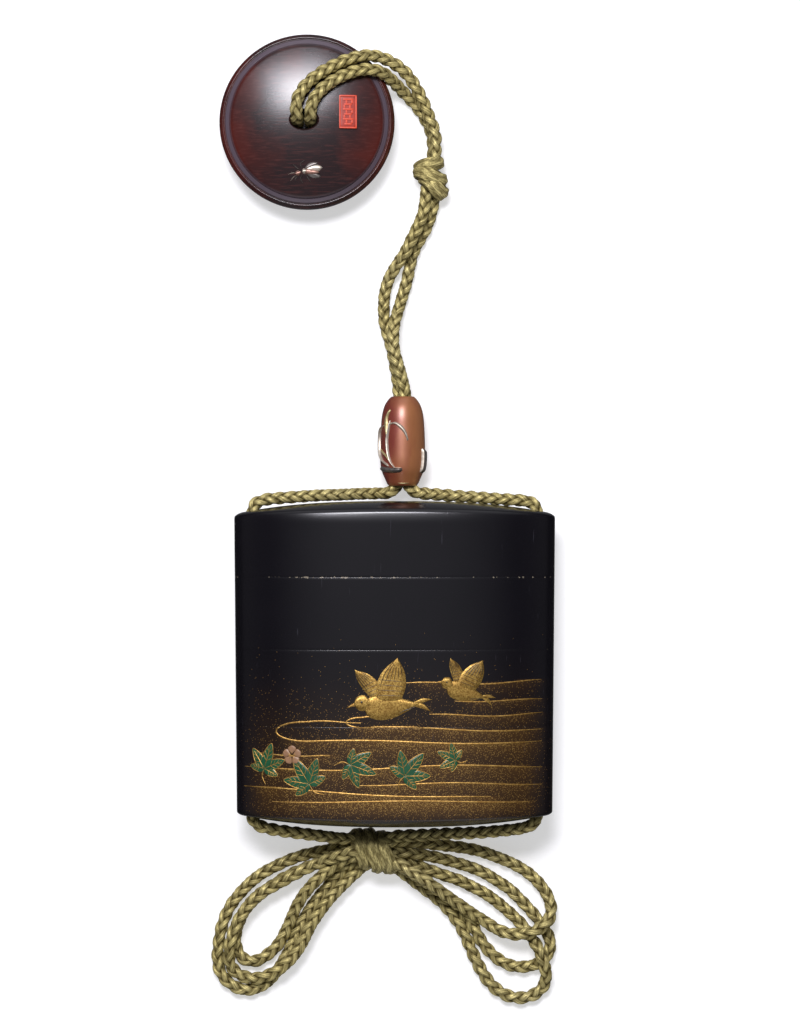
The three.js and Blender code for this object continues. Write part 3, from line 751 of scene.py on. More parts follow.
LEFT_INNER = [
    (-6.6, -41.8, 5.2),
    (-9.2, -42.4, 4.4), (-12.0, -43.2, 2.6), (-14.9, -43.8, 1.6), (-18.2, -44.8, 1.4),
    (-21.3, -46.0, 1.4), (-24.2, -47.4, 1.4), (-27.0, -49.2, 1.4), (-29.7, -51.0, 1.4),
    (-31.9, -53.1, 1.4), (-33.6, -55.7, 1.4), (-34.7, -58.5, 1.4), (-35.1, -61.2, 1.4),
    (-34.5, -63.8, 1.4), (-32.8, -65.6, 1.4), (-30.3, -65.7, 1.4), (-27.9, -64.3, 1.4),
    (-25.7, -62.2, 1.4), (-24.1, -59.4, 1.6), (-22.8, -56.5, 2.2), (-21.5, -53.5, 3.2),
    (-19.7, -50.6, 4.0), (-17.3, -47.9, 4.4), (-14.6, -45.6, 4.4), (-12.0, -43.7, 4.9),
    (-9.4, -42.3, 6.0),
    (-6.8, -41.6, 6.1),
]
RIGHT_TOP = [
    (-4.6, -39.9, 6.5),
    (-2.3, -39.3, 7.1), (1.2, -39.1, 5.6), (5.5, -39.5, 4.4), (10.0, -40.1, 3.4),
    (14.4, -40.7, 2.0), (18.8, -41.6, 1.4), (22.5, -42.9, 1.4), (26.1, -44.4, 1.4),
    (29.4, -46.4, 1.4), (32.0, -48.9, 1.4), (33.8, -51.7, 1.6), (34.4, -54.2, 2.8),
    (33.7, -56.6, 4.4), (31.5, -58.4, 5.2), (28.6, -59.5, 5.2), (25.5, -59.5, 4.6),
    (22.7, -58.7, 3.4), (20.1, -57.1, 2.7), (17.4, -55.4, 3.1), (14.8, -53.5, 4.2),
    (12.1, -51.6, 5.0), (9.5, -49.6, 6.4), (6.6, -47.5, 7.2), (3.8, -45.7, 7.2),
    (1.2, -44.2, 6.8), (-0.8, -43.1, 6.4),
    (-3.1, -42.3, 5.9),
]
RIGHT_MIDDLE = [
    (-4.6, -41.0, 4.9),
    (-2.4, -41.1, 4.8), (1.2, -41.5, 4.4), (5.6, -42.2, 3.4), (9.5, -43.0, 2.2),
    (13.3, -44.1, 1.4), (16.6, -45.1, 1.4), (19.7, -46.4, 1.4), (22.5, -48.1, 1.4),
    (25.2, -49.9, 1.4), (27.4, -52.0, 1.4), (29.5, -54.2, 1.4), (31.3, -56.3, 1.6),
    (32.9, -58.5, 1.8), (34.1, -60.9, 1.8), (34.1, -63.3, 1.8), (32.7, -65.6, 1.6),
    (29.8, -66.9, 1.4), (26.5, -67.0, 1.4), (23.6, -65.9, 1.4), (21.2, -64.0, 1.4),
    (19.2, -61.6, 1.4), (17.7, -58.9, 1.4), (16.1, -56.3, 1.4), (14.2, -53.9, 1.6),
    (11.5, -51.5, 2.2), (8.6, -49.3, 3.2), (5.8, -47.4, 4.3), (2.9, -45.6, 4.7),
    (0.5, -44.1, 4.9),
    (-1.8, -42.8, 4.3),
]
RIGHT_OUTER = [
    (-4.4, -42.1, 5.0),
    (-2.3, -42.8, 4.8), (0.7, -43.4, 3.6), (4.2, -44.5, 2.2), (7.8, -45.8, 1.6),
    (11.1, -47.0, 1.4), (13.9, -47.9, 1.4), (16.8, -49.3, 1.4), (19.7, -50.8, 1.4),
    (22.3, -52.6, 1.4), (24.7, -54.6, 1.4), (26.9, -56.6, 1.6), (28.9, -58.8, 2.2),
    (30.6, -61.2, 3.2), (32.0, -63.7, 4.4), (32.9, -66.4, 4.2), (33.3, -69.2, 2.8),
    (32.4, -71.8, 1.6), (30.0, -73.5, 1.4), (26.9, -73.9, 1.4), (24.1, -73.1, 1.4),
    (21.6, -71.3, 1.4), (19.7, -68.9, 1.4), (18.1, -66.0, 1.4), (16.7, -62.9, 1.4),
    (15.4, -59.8, 1.4), (13.8, -57.0, 1.4), (11.7, -54.3, 1.4), (9.3, -52.0, 1.4),
    (6.4, -49.8, 1.4), (3.6, -47.7, 1.4), (1.2, -45.9, 1.6),
    (-1.1, -44.4, 2.8), (-3.2, -43.2, 3.7),
]


def wrap_route(centre, half, turns, climb, start, tilt):
    """A coil round a bundle that a knot ties, as its centre and its points across the bundle, up
    and along it: an ellipse of half sizes half = (across, up) from the angle start, that moves
    on by climb over its turns and leans by tilt."""
    angle = start + np.linspace(0, 2 * math.pi * turns, max(int(14 * turns), 8))
    across = half[0] * np.sin(angle)
    up = half[1] * np.cos(angle)
    on = climb * (np.linspace(0, 1, len(angle)) - 0.5) + tilt * np.sin(angle)
    return centre, across, up, on


def pulled_flat(line, up, half):
    """A turn of the cord drawn so tight that its plait lies flat: an oval section of half sizes
    half = (wide, thick) with six low ridges, 1 + 0.07 cos(6a + 2 sin(s / 0.9)), of filaments."""
    line = smooth_line(line, 0.3)
    _, outs, across = carried_frames(line, up)
    s = np.arange(len(line)) * length_of(line) / (len(line) - 1)
    around = np.linspace(0, 2 * math.pi, FLAT_SIDES, endpoint=False)
    ridge = np.cos(6 * around + 2 * np.sin(s / 0.9)[:, None])
    swell = (1 + 0.07 * ridge)[:, :, None]
    ring = line[:, None] + swell * (half[0] * np.sin(around)[None, :, None] * across[:, None]
                                    + half[1] * np.cos(around)[None, :, None] * outs[:, None])
    points, faces = closed_rings(ring)
    # How proud each point lies, which the silk turns into painted shade: darkest against the bundle
    # and between the ridges.
    level = (0.5 + 0.5 * np.cos(around)) ** 0.7 * (0.8 + 0.2 * ridge)
    uv = [3 * part for part in strand_uv(s, FLAT_SIDES)]
    return points, faces, uv, np.concatenate([level.ravel(), [0, 0]])


def knot_piece(name, wraps, along_axis, replaces):
    """A knot as its visible turns of cord, each pressed flat round the bundle that it ties, which
    runs along X if along_axis is 0 and along Y if it is 1."""
    parts, uvs, proud = [], [], []
    for (centre, across, up, on), half in wraps:
        x, y = (on, across) if along_axis == 0 else (across, on)
        line = np.stack([centre[0] + x, centre[1] + y, centre[2] + up], axis=1)
        outward = line[0] - np.asarray(centre)
        points, faces, uv, levels = pulled_flat(line, outward, half)
        parts.append((points, faces))
        uvs.extend(uv)
        proud.append(levels)
    points, faces = joined(parts)
    points[:, 2] = np.maximum(points[:, 2], FLOOR_GAP)
    return silk_piece(name, points, faces, uvs, np.concatenate(proud), replaces)


def make_cords():
    """The one silk cord, as the stretches that run from one thing or knot to the next. Each turn
    of a knot is given with the half width and half thickness that it is pulled to."""
    upper = knot_piece("knot_upper_turns", [
        (wrap_route((7.5, 109.3, 3.5), (2.3, 2.0), 1.1, 0.6, 2.6, 0.7), (1.6, 1.05)),
        (wrap_route((7.8, 106.9, 3.7), (2.6, 2.3), 1.1, 0.6, 2.9, -1.3), (1.7, 1.15)),
        (wrap_route((8.5, 104.9, 3.6), (2.0, 2.1), 1.1, 0.6, 3.0, -2.0), (1.7, 1.1)),
    ], 1, ["knot_upper"])
    lower = knot_piece("knot_bow_turns", [
        (wrap_route((-7.4, -40.8, 4.5), (3.5, 3.2), 1.1, 0.5, 2.8, -1.2), (1.7, 1.0)),
        (wrap_route((-4.7, -41.2, 4.7), (3.9, 3.5), 1.1, 0.5, 3.0, -1.4), (1.7, 1.1)),
        (wrap_route((-2.1, -41.6, 4.6), (3.8, 3.3), 1.1, 0.5, 3.2, -1.4), (1.7, 1.0)),
    ], 0, ["knot_bow"])
    cord_piece("cord_netsuke_outer_silk", NETSUKE_OUTER, ["cord_netsuke_outer"])
    cord_piece("cord_netsuke_inner_silk", NETSUKE_INNER, ["cord_netsuke_inner"])
    cord_piece("cord_middle_left_silk", MIDDLE_LEFT, ["cord_middle_left"])
    cord_piece("cord_middle_right_silk", MIDDLE_RIGHT, ["cord_middle_right"])
    cord_piece("cord_case_left_silk", CASE_LEFT, ["cord_case_left", "cord_in_ojime"])
    cord_piece("cord_case_right_silk", CASE_RIGHT, ["cord_case_right"])
    loops = {"bow_left_outer": LEFT_OUTER, "bow_left_middle": LEFT_MIDDLE,
             "bow_left_inner": LEFT_INNER, "bow_right_top": RIGHT_TOP,
             "bow_right_middle": RIGHT_MIDDLE, "bow_right_outer": RIGHT_OUTER}
    for name, route in loops.items():
        cord_piece(name + "_silk", route, [name.rsplit("_", 1)[0]], pitch=LOOSE_PITCH)


make_cords()

# ---- relief: low shapes laid on a curved surface ------------------------------------------

# How far a shape's underside lies below what it stands on, so that no gap shows.
RELIEF_ROOT = 0.05


def relief(place, edge, other, height, base=0.0, columns=12, power=4):
    """A low closed body between two edges, each [station, 2] in the surface's own millimetres.
    Its top swells between them as height * (1 - |2v - 1| ** power), v running from one edge to
    the other, and falls to a quarter of that at the first and last station."""
    edge, other = np.asarray(edge, float), np.asarray(other, float)
    u = np.linspace(0, 1, len(edge))
    ends = np.clip(np.minimum(u, 1 - u) * 8, 0, 1) ** 0.5
    v = np.linspace(0, 1, columns)
    swell = height * (1 - np.abs(2 * v - 1) ** power)
    under = np.array([0.75, 0.5, 0.25])
    across = np.concatenate([v, under])
    flat = edge[:, None] + (other - edge)[:, None] * across[None, :, None]
    top = base + swell[None, :] * (0.25 + 0.75 * ends[:, None])
    bottom = np.full((len(u), len(under)), base - RELIEF_ROOT)
    lift = np.concatenate([top, bottom], axis=1)
    points, faces = closed_rings(place(flat[..., 0], flat[..., 1], lift))
    return points, facing_out(points, faces)


def ribbon(place, points, width, height, base=0.0, step=0.5, taper=0.35, columns=5):
    """A raised line along a smooth path. Its width falls to half at both ends, over a share taper
    of its length."""
    line = smooth_line(points, step)
    along = unit(np.gradient(line, axis=0))
    side = np.stack([-along[:, 1], along[:, 0]], axis=1)
    u = np.linspace(0, 1, len(line))
    half = width / 2 * np.clip(np.minimum(u, 1 - u) / taper, 0.25, 1)[:, None] ** 0.5
    return relief(place, line - side * half, line + side * half, height, base, columns, power=2)


def swelling(start, stop, width, blunt, count=18):
    """The right and left edges of a pointed oval from start to stop, whose half width goes as
    sin(pi u ** blunt) ** 0.7, u running from 0 to 1 along it."""
    start, stop = np.asarray(start, float), np.asarray(stop, float)
    along = unit(stop - start)
    aside = np.array([-along[1], along[0]])
    u = np.linspace(0, 1, count)
    half = width / 2 * np.sin(math.pi * u ** blunt) ** 0.7
    spine = start + np.outer(u, stop - start)
    return spine - half[:, None] * aside, spine + half[:, None] * aside


def relief_piece(name, slot, elements, replaces=(), low=None, high=None):
    """One piece from (points and faces, material) elements, cut off at the given Y planes."""
    materials = []
    for _, material in elements:
        if material not in materials:
            materials.append(material)
    points, faces = joined([shape for shape, _ in elements])
    piece = make_piece(name, points, faces, sharp=50)
    index = np.concatenate([
        np.full(sum(len(f) for f in shape[1]), materials.index(material))
        for shape, material in elements])
    piece.data.polygons.foreach_set("material_index", index.astype(np.int32))
    if low is not None:
        cut_flat(piece, low, high)
    return keep_indexed(piece, slot, materials, replaces)


def keep_indexed(piece, slot, materials, replaces=()):
    """As keep, for a mesh whose faces already know which of the materials they take."""
    index = np.zeros(len(piece.data.polygons), np.int32)
    piece.data.polygons.foreach_get("material_index", index)
    keep(piece, slot, *materials, replaces=replaces)
    piece.data.polygons.foreach_set("material_index", index)
    return piece


def cut_flat(piece, low, high):
    """Cuts a mesh off at two planes across Y and closes the cuts."""
    body = bmesh.new()
    body.from_mesh(piece.data)
    for level, facing in ((low, -1), (high, 1)):
        everything = body.verts[:] + body.edges[:] + body.faces[:]
        bmesh.ops.bisect_plane(body, geom=everything, plane_co=(0, level * MM, 0),
                               plane_no=(0, facing, 0), clear_outer=True)
        open_edges = [edge for edge in body.edges if edge.is_boundary]
        bmesh.ops.holes_fill(body, edges=open_edges, sides=0)
    body.to_mesh(piece.data)
    body.free()


def cut_away(piece, cutters):
    """Takes closed cutter shapes out of a piece, and removes the cutters."""
    for number, shape in enumerate(cutters):
        tool = make_piece("cutter", *shape, sharp=None)
        cut = piece.modifiers.new(f"cut_{number}", "BOOLEAN")
        cut.operation = "DIFFERENCE"
        cut.solver = "EXACT"
        cut.object = tool
        graph = bpy.context.evaluated_depsgraph_get()
        mesh = bpy.data.meshes.new_from_object(piece.evaluated_get(graph))
        piece.modifiers.clear()
        piece.data = mesh
        bpy.data.objects.remove(tool)


def pillow(centre, half, lean):
    """A box with rounded faces, (x/a) ** 6 + (y/b) ** 6 + (z/c) ** 6 = 1, turned by the matrix
    lean and then moved to its centre."""
    rise = np.linspace(-math.pi / 2, math.pi / 2, 11)[1:-1, None]
    turn = np.linspace(0, 2 * math.pi, 28, endpoint=False)[None, :]

    def bent(value):
        return np.sign(value) * np.abs(value) ** (2 / 6)

    x = bent(np.cos(rise)) * bent(np.cos(turn)) * half[0]
    y = bent(np.cos(rise)) * bent(np.sin(turn)) * half[1]
    z = bent(np.sin(rise)) * np.ones_like(turn) * half[2]
    rings = np.stack([x, y, z], axis=-1) @ lean.T + centre
    low, high = np.array([(0, 0, -half[2]), (0, 0, half[2])]) @ lean.T + centre
    return closed_rings(rings, low, high)


# ---- the case ----------------------------------------------------------------------------

# The case's rings have RING_POINTS points and lie ROW_STEP apart along its wall. At a joint the
# wall rounds off by JOINT_EDGE.
RING_POINTS = 400
ROW_STEP = 0.5
JOINT_EDGE = 0.07
# The lid's front and back roll over to its shoulder: they sink by ROLL over the top ROLL_REACH.
ROLL = 0.11
ROLL_REACH = 1.4


def bent_circle(turn, roundness):
    """A unit oval: x = sin t and z = cos t, each raised to 2 / roundness with its sign kept."""
    power = 2 / roundness
    x = np.sign(np.sin(turn)) * np.abs(np.sin(turn)) ** power
    z = np.sign(np.cos(turn)) * np.abs(np.cos(turn)) ** power
    return x, z


# Turns from the middle of the front round by the right, the arc in millimetres to each, and
# from them the turns of a ring's points, which lie evenly along its arc.
FINE_TURNS = np.linspace(-math.pi, math.pi, 40001)
fine_x, fine_z = bent_circle(FINE_TURNS, CASE_ROUNDNESS)
fine_steps = np.hypot(np.diff(fine_x) * MIDDLE_WIDTH, np.diff(fine_z) * CASE_THICK)
FINE_ARC = np.concatenate([[0], np.cumsum(fine_steps)])
GIRTH = FINE_ARC[-1]
FINE_ARC = FINE_ARC - GIRTH / 2
TURNS = np.interp(np.arange(RING_POINTS) / RING_POINTS * GIRTH - GIRTH / 2, FINE_ARC, FINE_TURNS)


def half_width(y):
    """The case's half width at a height: it tapers evenly from top to foot."""
    return FOOT_WIDTH + (TOP_WIDTH - FOOT_WIDTH) * (y + CASE_HALF) / (2 * CASE_HALF)


def outer_ring(y, rho=1.0, lift=None, inset=0.0, roll=0.0):
    """A ring of the outside, shrunk by rho to its middle, and lifted by lift(x, rho). Its faces
    sink by inset all round, and by roll at front and back."""
    u, v = bent_circle(TURNS, CASE_ROUNDNESS)
    z = np.maximum(v * (CASE_THICK - inset - roll), BACK_FLAT - CASE_THICK + inset) * rho
    up = 0 if lift is None else lift(u * rho, rho)
    return np.stack([u * rho * (half_width(y) - inset), y + up + 0 * u, CASE_Z + z], axis=1)


def inner_ring(y, width, thick, lift=0.0):
    """A ring of the squarer oval that the lips, sockets and hollows have."""
    u, v = bent_circle(TURNS, INNER_ROUNDNESS)
    return np.stack([u * width, y + lift + 0 * u, CASE_Z + v * thick], axis=1)


def dome_lift(x, rho):
    """The ends bow along their edge and swell to their middle."""
    return EDGE_BOW * (1 - x * x) + DOME_RISE * (1 - rho ** DOME_POWER)


def end_rings(side, edge, roll=0.0, lean=0.0):
    """A domed end's rings from the wall to near its middle. The wall turns into the dome by a
    quarter of an ellipse, which begins at the angle lean where the wall rolls over to it."""
    inset, drop = edge
    turns = np.linspace(lean, math.pi / 2, 12)
    rings = [outer_ring(side * CASE_HALF, 1 - inset * (1 - math.cos(t)),
                        lambda x, r, t=t: side * (dome_lift(x, r) - drop * (1 - math.sin(t))),
                        roll=roll)
             for t in turns]
    rhos = (1 - inset) * (1 - np.linspace(0, 1, 26)[1:-1])
    rings += [outer_ring(side * CASE_HALF, rho, lambda x, r: side * dome_lift(x, r), roll=roll)
              for rho in rhos]
    return rings


def joint_edge(y, side):
    """The outside's rings as it rounds off into a joint; side is +1 at a piece's upper end."""
    return [outer_ring(y - side * JOINT_EDGE * (1 - math.sin(t)),
                       inset=JOINT_EDGE * (1 - math.cos(t)))
            for t in np.linspace(0, math.pi / 2, 4)]


def hollow_rings(mouth, end, width, thick, domed=0):
    """A hollow's wall from its mouth to its far end, with a filleted corner, and that end, which
    bows up as the case's own top does if domed is 1, and down if it is -1."""
    side = 1 if end > mouth else -1
    fillet = 0.6
    walls = np.linspace(mouth, end - side * fillet, 8)
    rings = [inner_ring(y, width, thick) for y in walls]
    for t in np.linspace(0, math.pi / 2, 5)[1:]:
        inset = fillet * (1 - math.cos(t))
        y = end - side * fillet * (1 - math.sin(t))
        lift = domed * EDGE_BOW * (1 - bent_circle(TURNS, INNER_ROUNDNESS)[0] ** 2)
        rings.append(inner_ring(y, width - inset, thick - inset, lift * math.sin(t)))
    for rho in np.linspace(1, 0, 9)[1:-1]:
        u = bent_circle(TURNS, INNER_ROUNDNESS)[0] * rho
        lift = domed * dome_lift(u, rho)
        rings.append(inner_ring(end, (width - fillet) * rho, (thick - fillet) * rho, lift))
    return rings


def lip_rings(joint):
    """The lip that stands up out of a tray into the piece above, from its foot to its top."""
    top = joint + LIP_HEIGHT
    soft = 0.25
    outside = [inner_ring(y, LIP_WIDTH, LIP_THICK) for y in (joint, joint + 1, top - soft)]
    over = []
    for t in np.linspace(0, math.pi, 7)[1:]:
        inset = LIP_WALL / 2 * (1 - math.cos(t))
        y = top - soft + soft * math.sin(t)
        over.append(inner_ring(y, LIP_WIDTH - inset, LIP_THICK - inset))
    return outside + over


def lower_hollow(low, high):
    """The socket under a piece, from its far end out. The lid's goes on up to a domed end."""
    socket = (LIP_WIDTH + LIP_FIT, LIP_THICK + LIP_FIT)
    if low is None:
        return []
    if high is None:
        return hollow_rings(low, CASE_HALF - SHELL, *socket, 1)[::-1]
    return hollow_rings(low, low + LIP_HEIGHT + LIP_FIT, *socket)[::-1]


def upper_hollow(low, high):
    """A tray's lip, and the room inside it down to its floor. The lowest tray's floor bows down
    with the case's foot."""
    room = (LIP_WIDTH - LIP_WALL, LIP_THICK - LIP_WALL)
    if high is None:
        return []
    mouth = high + LIP_HEIGHT - LIP_ROUNDED
    if low is None:
        return lip_rings(high) + hollow_rings(mouth, -CASE_HALF + SHELL, *room, -1)
    floor = low + LIP_HEIGHT + LIP_FIT + FLOOR
    return lip_rings(high) + hollow_rings(mouth, floor, *room)


def outside_rings(low, high):
    """A piece's outside, from its foot or lower joint up to its upper joint or shoulder, with
    its wall in rows between them."""
    lean = math.atan(3 * ROLL / ROLL_REACH)
    if low is None:
        lower = end_rings(-1, FOOT)[::-1]
        first = -CASE_HALF + FOOT[1]
    else:
        lower = joint_edge(low, -1)[::-1]
        first = low + JOINT_EDGE
    if high is None:
        upper = end_rings(1, SHOULDER, ROLL, lean)
        last = CASE_HALF - SHOULDER[1] * (1 - math.sin(lean))
    else:
        upper = joint_edge(high, 1)
        last = high - JOINT_EDGE
    rows = np.linspace(first, last, int((last - first) / ROW_STEP) + 1)[1:-1]
    near_top = np.clip(1 - (last - rows) / ROLL_REACH, 0, 1) if high is None else 0 * rows
    wall = [outer_ring(y, roll=ROLL * near ** 3) for y, near in zip(rows, near_top)]
    return lower + wall + upper


def case_piece(name, low, high):
    """One piece of the case: rings from its lower hollow out, up its outside and in again. low
    and high are its joints, and None stands for the case's own foot or top."""
    under, outside = lower_hollow(low, high), outside_rings(low, high)
    rings = np.array(under + outside + upper_hollow(low, high))
    tip = CASE_HALF + dome_lift(0, 0)
    foot = np.array([0, -tip, CASE_Z]) if low is None else None
    top = np.array([0, tip, CASE_Z]) if high is None else None
    piece = make_piece(name, *closed_rings(rings, foot, top), sharp=None)
    # The hollows are lined, from the lip's rounded top inwards, with the ends that close them.
    number = np.arange(len(rings) - 1)
    lined = (number < len(under) - 1) | (number > len(under) + len(outside) + 3)
    ends = [np.full(RING_POINTS, low is not None), np.full(RING_POINTS, high is not None)]
    index = np.concatenate([np.repeat(lined, RING_POINTS), *ends]).astype(np.int32)
    piece.data.materials.append(URUSHI)
    piece.data.materials.append(URUSHI_INSIDE)
    piece.data.polygons.foreach_set("material_index", index)
    return piece


def channel_cutter(x):
    """A cord channel's hole, which flares where it comes out at each end of the case."""
    y = np.array([-CASE_HALF - 2.0, -CASE_HALF - 0.2, -CASE_HALF + 0.6])
    y = np.concatenate([y, -y[::-1]])
    radius = CHANNEL_RADIUS + np.array([0.5, 0.25, 0, 0, 0.25, 0.5])
    turn = np.linspace(0, 2 * math.pi, 40, endpoint=False)
    rings = np.stack([x + radius[:, None] * np.sin(turn), np.repeat(y[:, None], 40, 1),
                      CASE_Z + radius[:, None] * np.cos(turn)], axis=-1)
    return closed_rings(rings)


def case_place(x, z, y):
    """The arc from the middle of the front for points on the outside, by their angle."""
    u = x / half_width(y)
    v = (z - CASE_Z) / CASE_THICK
    power = CASE_ROUNDNESS / 2
    turn = np.arctan2(np.sign(u) * np.abs(u) ** power, np.sign(v) * np.abs(v) ** power)
    return np.interp(turn, FINE_TURNS, FINE_ARC)


def on_case(s, y, lift):
    """Points of the case's outside at arc s and height y, raised along the surface's normal."""
    turn = np.interp(s, FINE_ARC, FINE_TURNS)
    u, v = bent_circle(turn, CASE_ROUNDNESS)
    width = half_width(y)
    power = CASE_ROUNDNESS - 1
    nx = np.sign(u) * np.abs(u) ** power / width
    nz = np.sign(v) * np.abs(v) ** power / CASE_THICK
    size = np.hypot(nx, nz)
    return np.stack([u * width + lift * nx / size, y + 0 * s,
                     CASE_Z + v * CASE_THICK + lift * nz / size], axis=-1)


# ---- the picture -------------------------------------------------------------------------

# The picture is an old pattern: plovers over a stream on which maple leaves float. The water is
# gold line with gold dust below it, the birds are raised gold, the leaves green with gold veins.


def current(start, stop, level, swing, waves, phase, fall=0.0):
    """A line of water from arc start to stop: its height is level, less fall by its far end,
    plus swing times the sine of its waves."""
    u = np.linspace(0, 1, 28)
    rise = swing * np.sin(2 * math.pi * (waves * u + phase))
    return np.stack([start + (stop - start) * u, level - fall * u + rise], axis=1)


def eddy(nose, level, gap, over, stop, fall):
    """A line of water that turns back on itself: an upper arm of length over comes to the nose,
    half an ellipse 1.6 times as long as it is high takes it round, and a lower arm runs on."""
    reach = 1.6 * gap
    arm = np.linspace(1, 0, 7)[:-1]
    upper = np.stack([nose + reach + over * arm, level + gap / 2 + 0.2 * np.sin(5 * arm)], axis=1)
    turn = np.linspace(math.pi / 2, 1.5 * math.pi, 11)
    bend = np.stack([nose + reach + reach * np.cos(turn), level + gap / 2 * np.sin(turn)], axis=1)
    lower = current(nose + reach, stop, level - gap / 2, 0.3, 1.1, 0.0, fall)[2:]
    return np.concatenate([upper, bend, lower])


# The lines of water and their widths, from the top of the front down, then those at the back.
STREAMS = [
    (current(1.5, 32.8, -4.0, 0.32, 1.15, 0.1, -0.5), 0.26),
    (current(13.0, 33.0, -7.6, 0.25, 0.8, 0.55), 0.24),
    (current(7.5, 33.2, -10.8, 0.3, 1.0, 0.2, -0.2), 0.26),
    (eddy(-10.5, -12.3, 2.2, 6.5, 32.8, 0.7), 0.3),
    (eddy(-26.0, -14.3, 4.2, 12.0, 33.0, 0.3), 0.32),
    (current(-31.5, -14.0, -19.2, 0.25, 0.8, 0.3, 0.3), 0.24),
    (current(-33.8, 33.2, -22.4, 0.45, 1.3, 0.35, -0.6), 0.3),
    (current(-8.0, 33.2, -25.6, 0.3, 1.1, 0.7), 0.26),
    (current(-34.2, 21.0, -26.6, 0.35, 1.0, 0.15, 2.0), 0.3),
    (current(-27.0, 30.0, -29.4, 0.2, 1.2, 0.6), 0.26),
    (current(42.0, 65.0, -18.2, 0.3, 0.7, 0.2), 0.28),
    (current(40.0, 64.5, -25.2, 0.4, 0.8, 0.6), 0.3),
    (current(-64.0, -54.5, -23.6, 0.3, 0.5, 0.1), 0.28),
]


# How thick the gold mist lies at some heights. Then, in millimetres, how far the gold below a
# wide and a narrow stream fades out, how far from a joint its edge is worn, and how far from it
# the streams stop.
MIST_HEIGHTS = [-34, -31, -27, -21, -16, -10, -3, 3, 9]
MIST_AMOUNTS = [0.0, 0.28, 0.24, 0.18, 0.18, 0.09, 0.018, 0.004, 0.0]
STREAM_FADE = 2.6
NARROW_FADE = 1.7
WORN_EDGE = 0.13
STREAM_GAP = 0.05


def lower_arm(path):
    """The stretch of a stream from its leftmost point on, as evenly spaced points."""
    line = smooth_line(path, 0.5)
    return line[np.argmin(line[:, 0]):]


def gold_ground(s, y):
    """How thickly gold is sprinkled at each place, 0 to 1: a mist over the lower part of the
    front, which thins to the sides and the foot, a fainter one at the back, and a denser band
    that fades below each stream but the last. Places left of the back's middle are counted on
    past it from the right."""
    s = np.where(s < -GIRTH / 2 + 24, s + GIRTH, s)
    # The front's mist is thickest at arc 3 and ends at 35.5 to either side. The back's lies
    # within 34 of arc 66.
    front = np.clip((35.5 - np.abs(s)) / 7.0, 0, 1)
    back = np.clip((34.0 - np.abs(s - 66)) / 14.0, 0, 1) * 0.35
    middle = 0.6 + 0.4 * np.exp(-((s - 3) / 20) ** 2)
    sides = np.maximum(front * middle, back)
    total = np.interp(y, MIST_HEIGHTS, MIST_AMOUNTS)
    for path, width in STREAMS:
        arm = lower_arm(path)
        level = np.interp(s, arm[:, 0], arm[:, 1])
        inside = np.clip((s - arm[0, 0]) / 5, 0, 1) * np.clip((arm[-1, 0] + 3 - s) / 3, 0, 1)
        depth = level - y
        fade = STREAM_FADE if width > 0.29 else NARROW_FADE
        band = np.where(depth > -0.1, np.exp(-np.clip(depth, 0, None) / fade), 0)
        total = total + 1.6 * width * band * inside
    return np.clip(total, 0, 0.85) * sides


def joint_wear(s, y):
    """How much of each place is chipped, 0 to 1: none but on the joints' edges, more on the
    lid's, and most of all about the arcs -13 and 29."""
    near = np.min([np.abs(y - level) for level in JOINTS.values()], axis=0)
    amount = np.where(np.abs(y - JOINTS["lid"]) < 0.6, 0.455, 0.33)
    spots = np.exp(-((s + 13) / 15) ** 2) + 0.6 * np.exp(-((s - 29) / 3.5) ** 2)
    return np.where(near < WORN_EDGE, amount * (0.76 + 0.24 * spots), 0)


def paint_case(piece):
    """Gives the case's points how much gold is sprinkled there and how far the edge is worn."""
    mesh = piece.data
    points = np.zeros(len(mesh.vertices) * 3)
    mesh.vertices.foreach_get("co", points)
    x, y, z = (points.reshape(-1, 3) / MM).T
    s = case_place(x, z, y)
    on_wall = np.hypot(x / half_width(y), (z - CASE_Z) / CASE_THICK) > 0.9
    for name, values in (("gold", gold_ground(s, y)), ("wear", joint_wear(s, y))):
        layer = mesh.attributes.new(name, "FLOAT", "POINT")
        layer.data.foreach_set("value", np.where(on_wall, values, 0).astype(np.float32))


def make_case():
    """The lid and the three trays, each with the cord's two channels through its sides."""
    channels = [channel_cutter(-CHANNEL_X), channel_cutter(CHANNEL_X)]
    pieces = [
        ("lid_lacquer", "lid", JOINTS["lid"], None),
        ("case_upper_lacquer", "case_upper", JOINTS["upper"], JOINTS["lid"]),
        ("case_middle_lacquer", "case_middle", JOINTS["middle"], JOINTS["upper"]),
        ("case_lower_lacquer", "case_lower", None, JOINTS["middle"]),
    ]
    for name, node, low, high in pieces:
        piece = case_piece(name, low, high)
        cut_away(piece, channels)
        paint_case(piece)
        piece.data.set_sharp_from_angle(angle=math.radians(38))
        keep_indexed(piece, "lacquer", [URUSHI, URUSHI_INSIDE], [node])


def make_streams():
    """The gold lines of water, in one piece for each tray that they cross. They stop short of the
    joint by STREAM_GAP."""
    middle = JOINTS["middle"]
    for name, low, high in (("streams_middle_gold", middle + STREAM_GAP, JOINTS["upper"]),
                            ("streams_lower_gold", -CASE_HALF, middle - STREAM_GAP)):
        elements = []
        for path, width in STREAMS:
            if path[:, 1].min() < high and path[:, 1].max() > low:
                elements.append((ribbon(on_case, path, width, 0.05, taper=0.12), GOLD))
        relief_piece(name, "lacquer", elements, low=low, high=high)


def even_edge(edge, count):
    """An edge of a shape as count points along a smooth line."""
    line = smooth_line(edge, 0.02)
    return line[np.linspace(0, len(line) - 1, count).round().astype(int)]


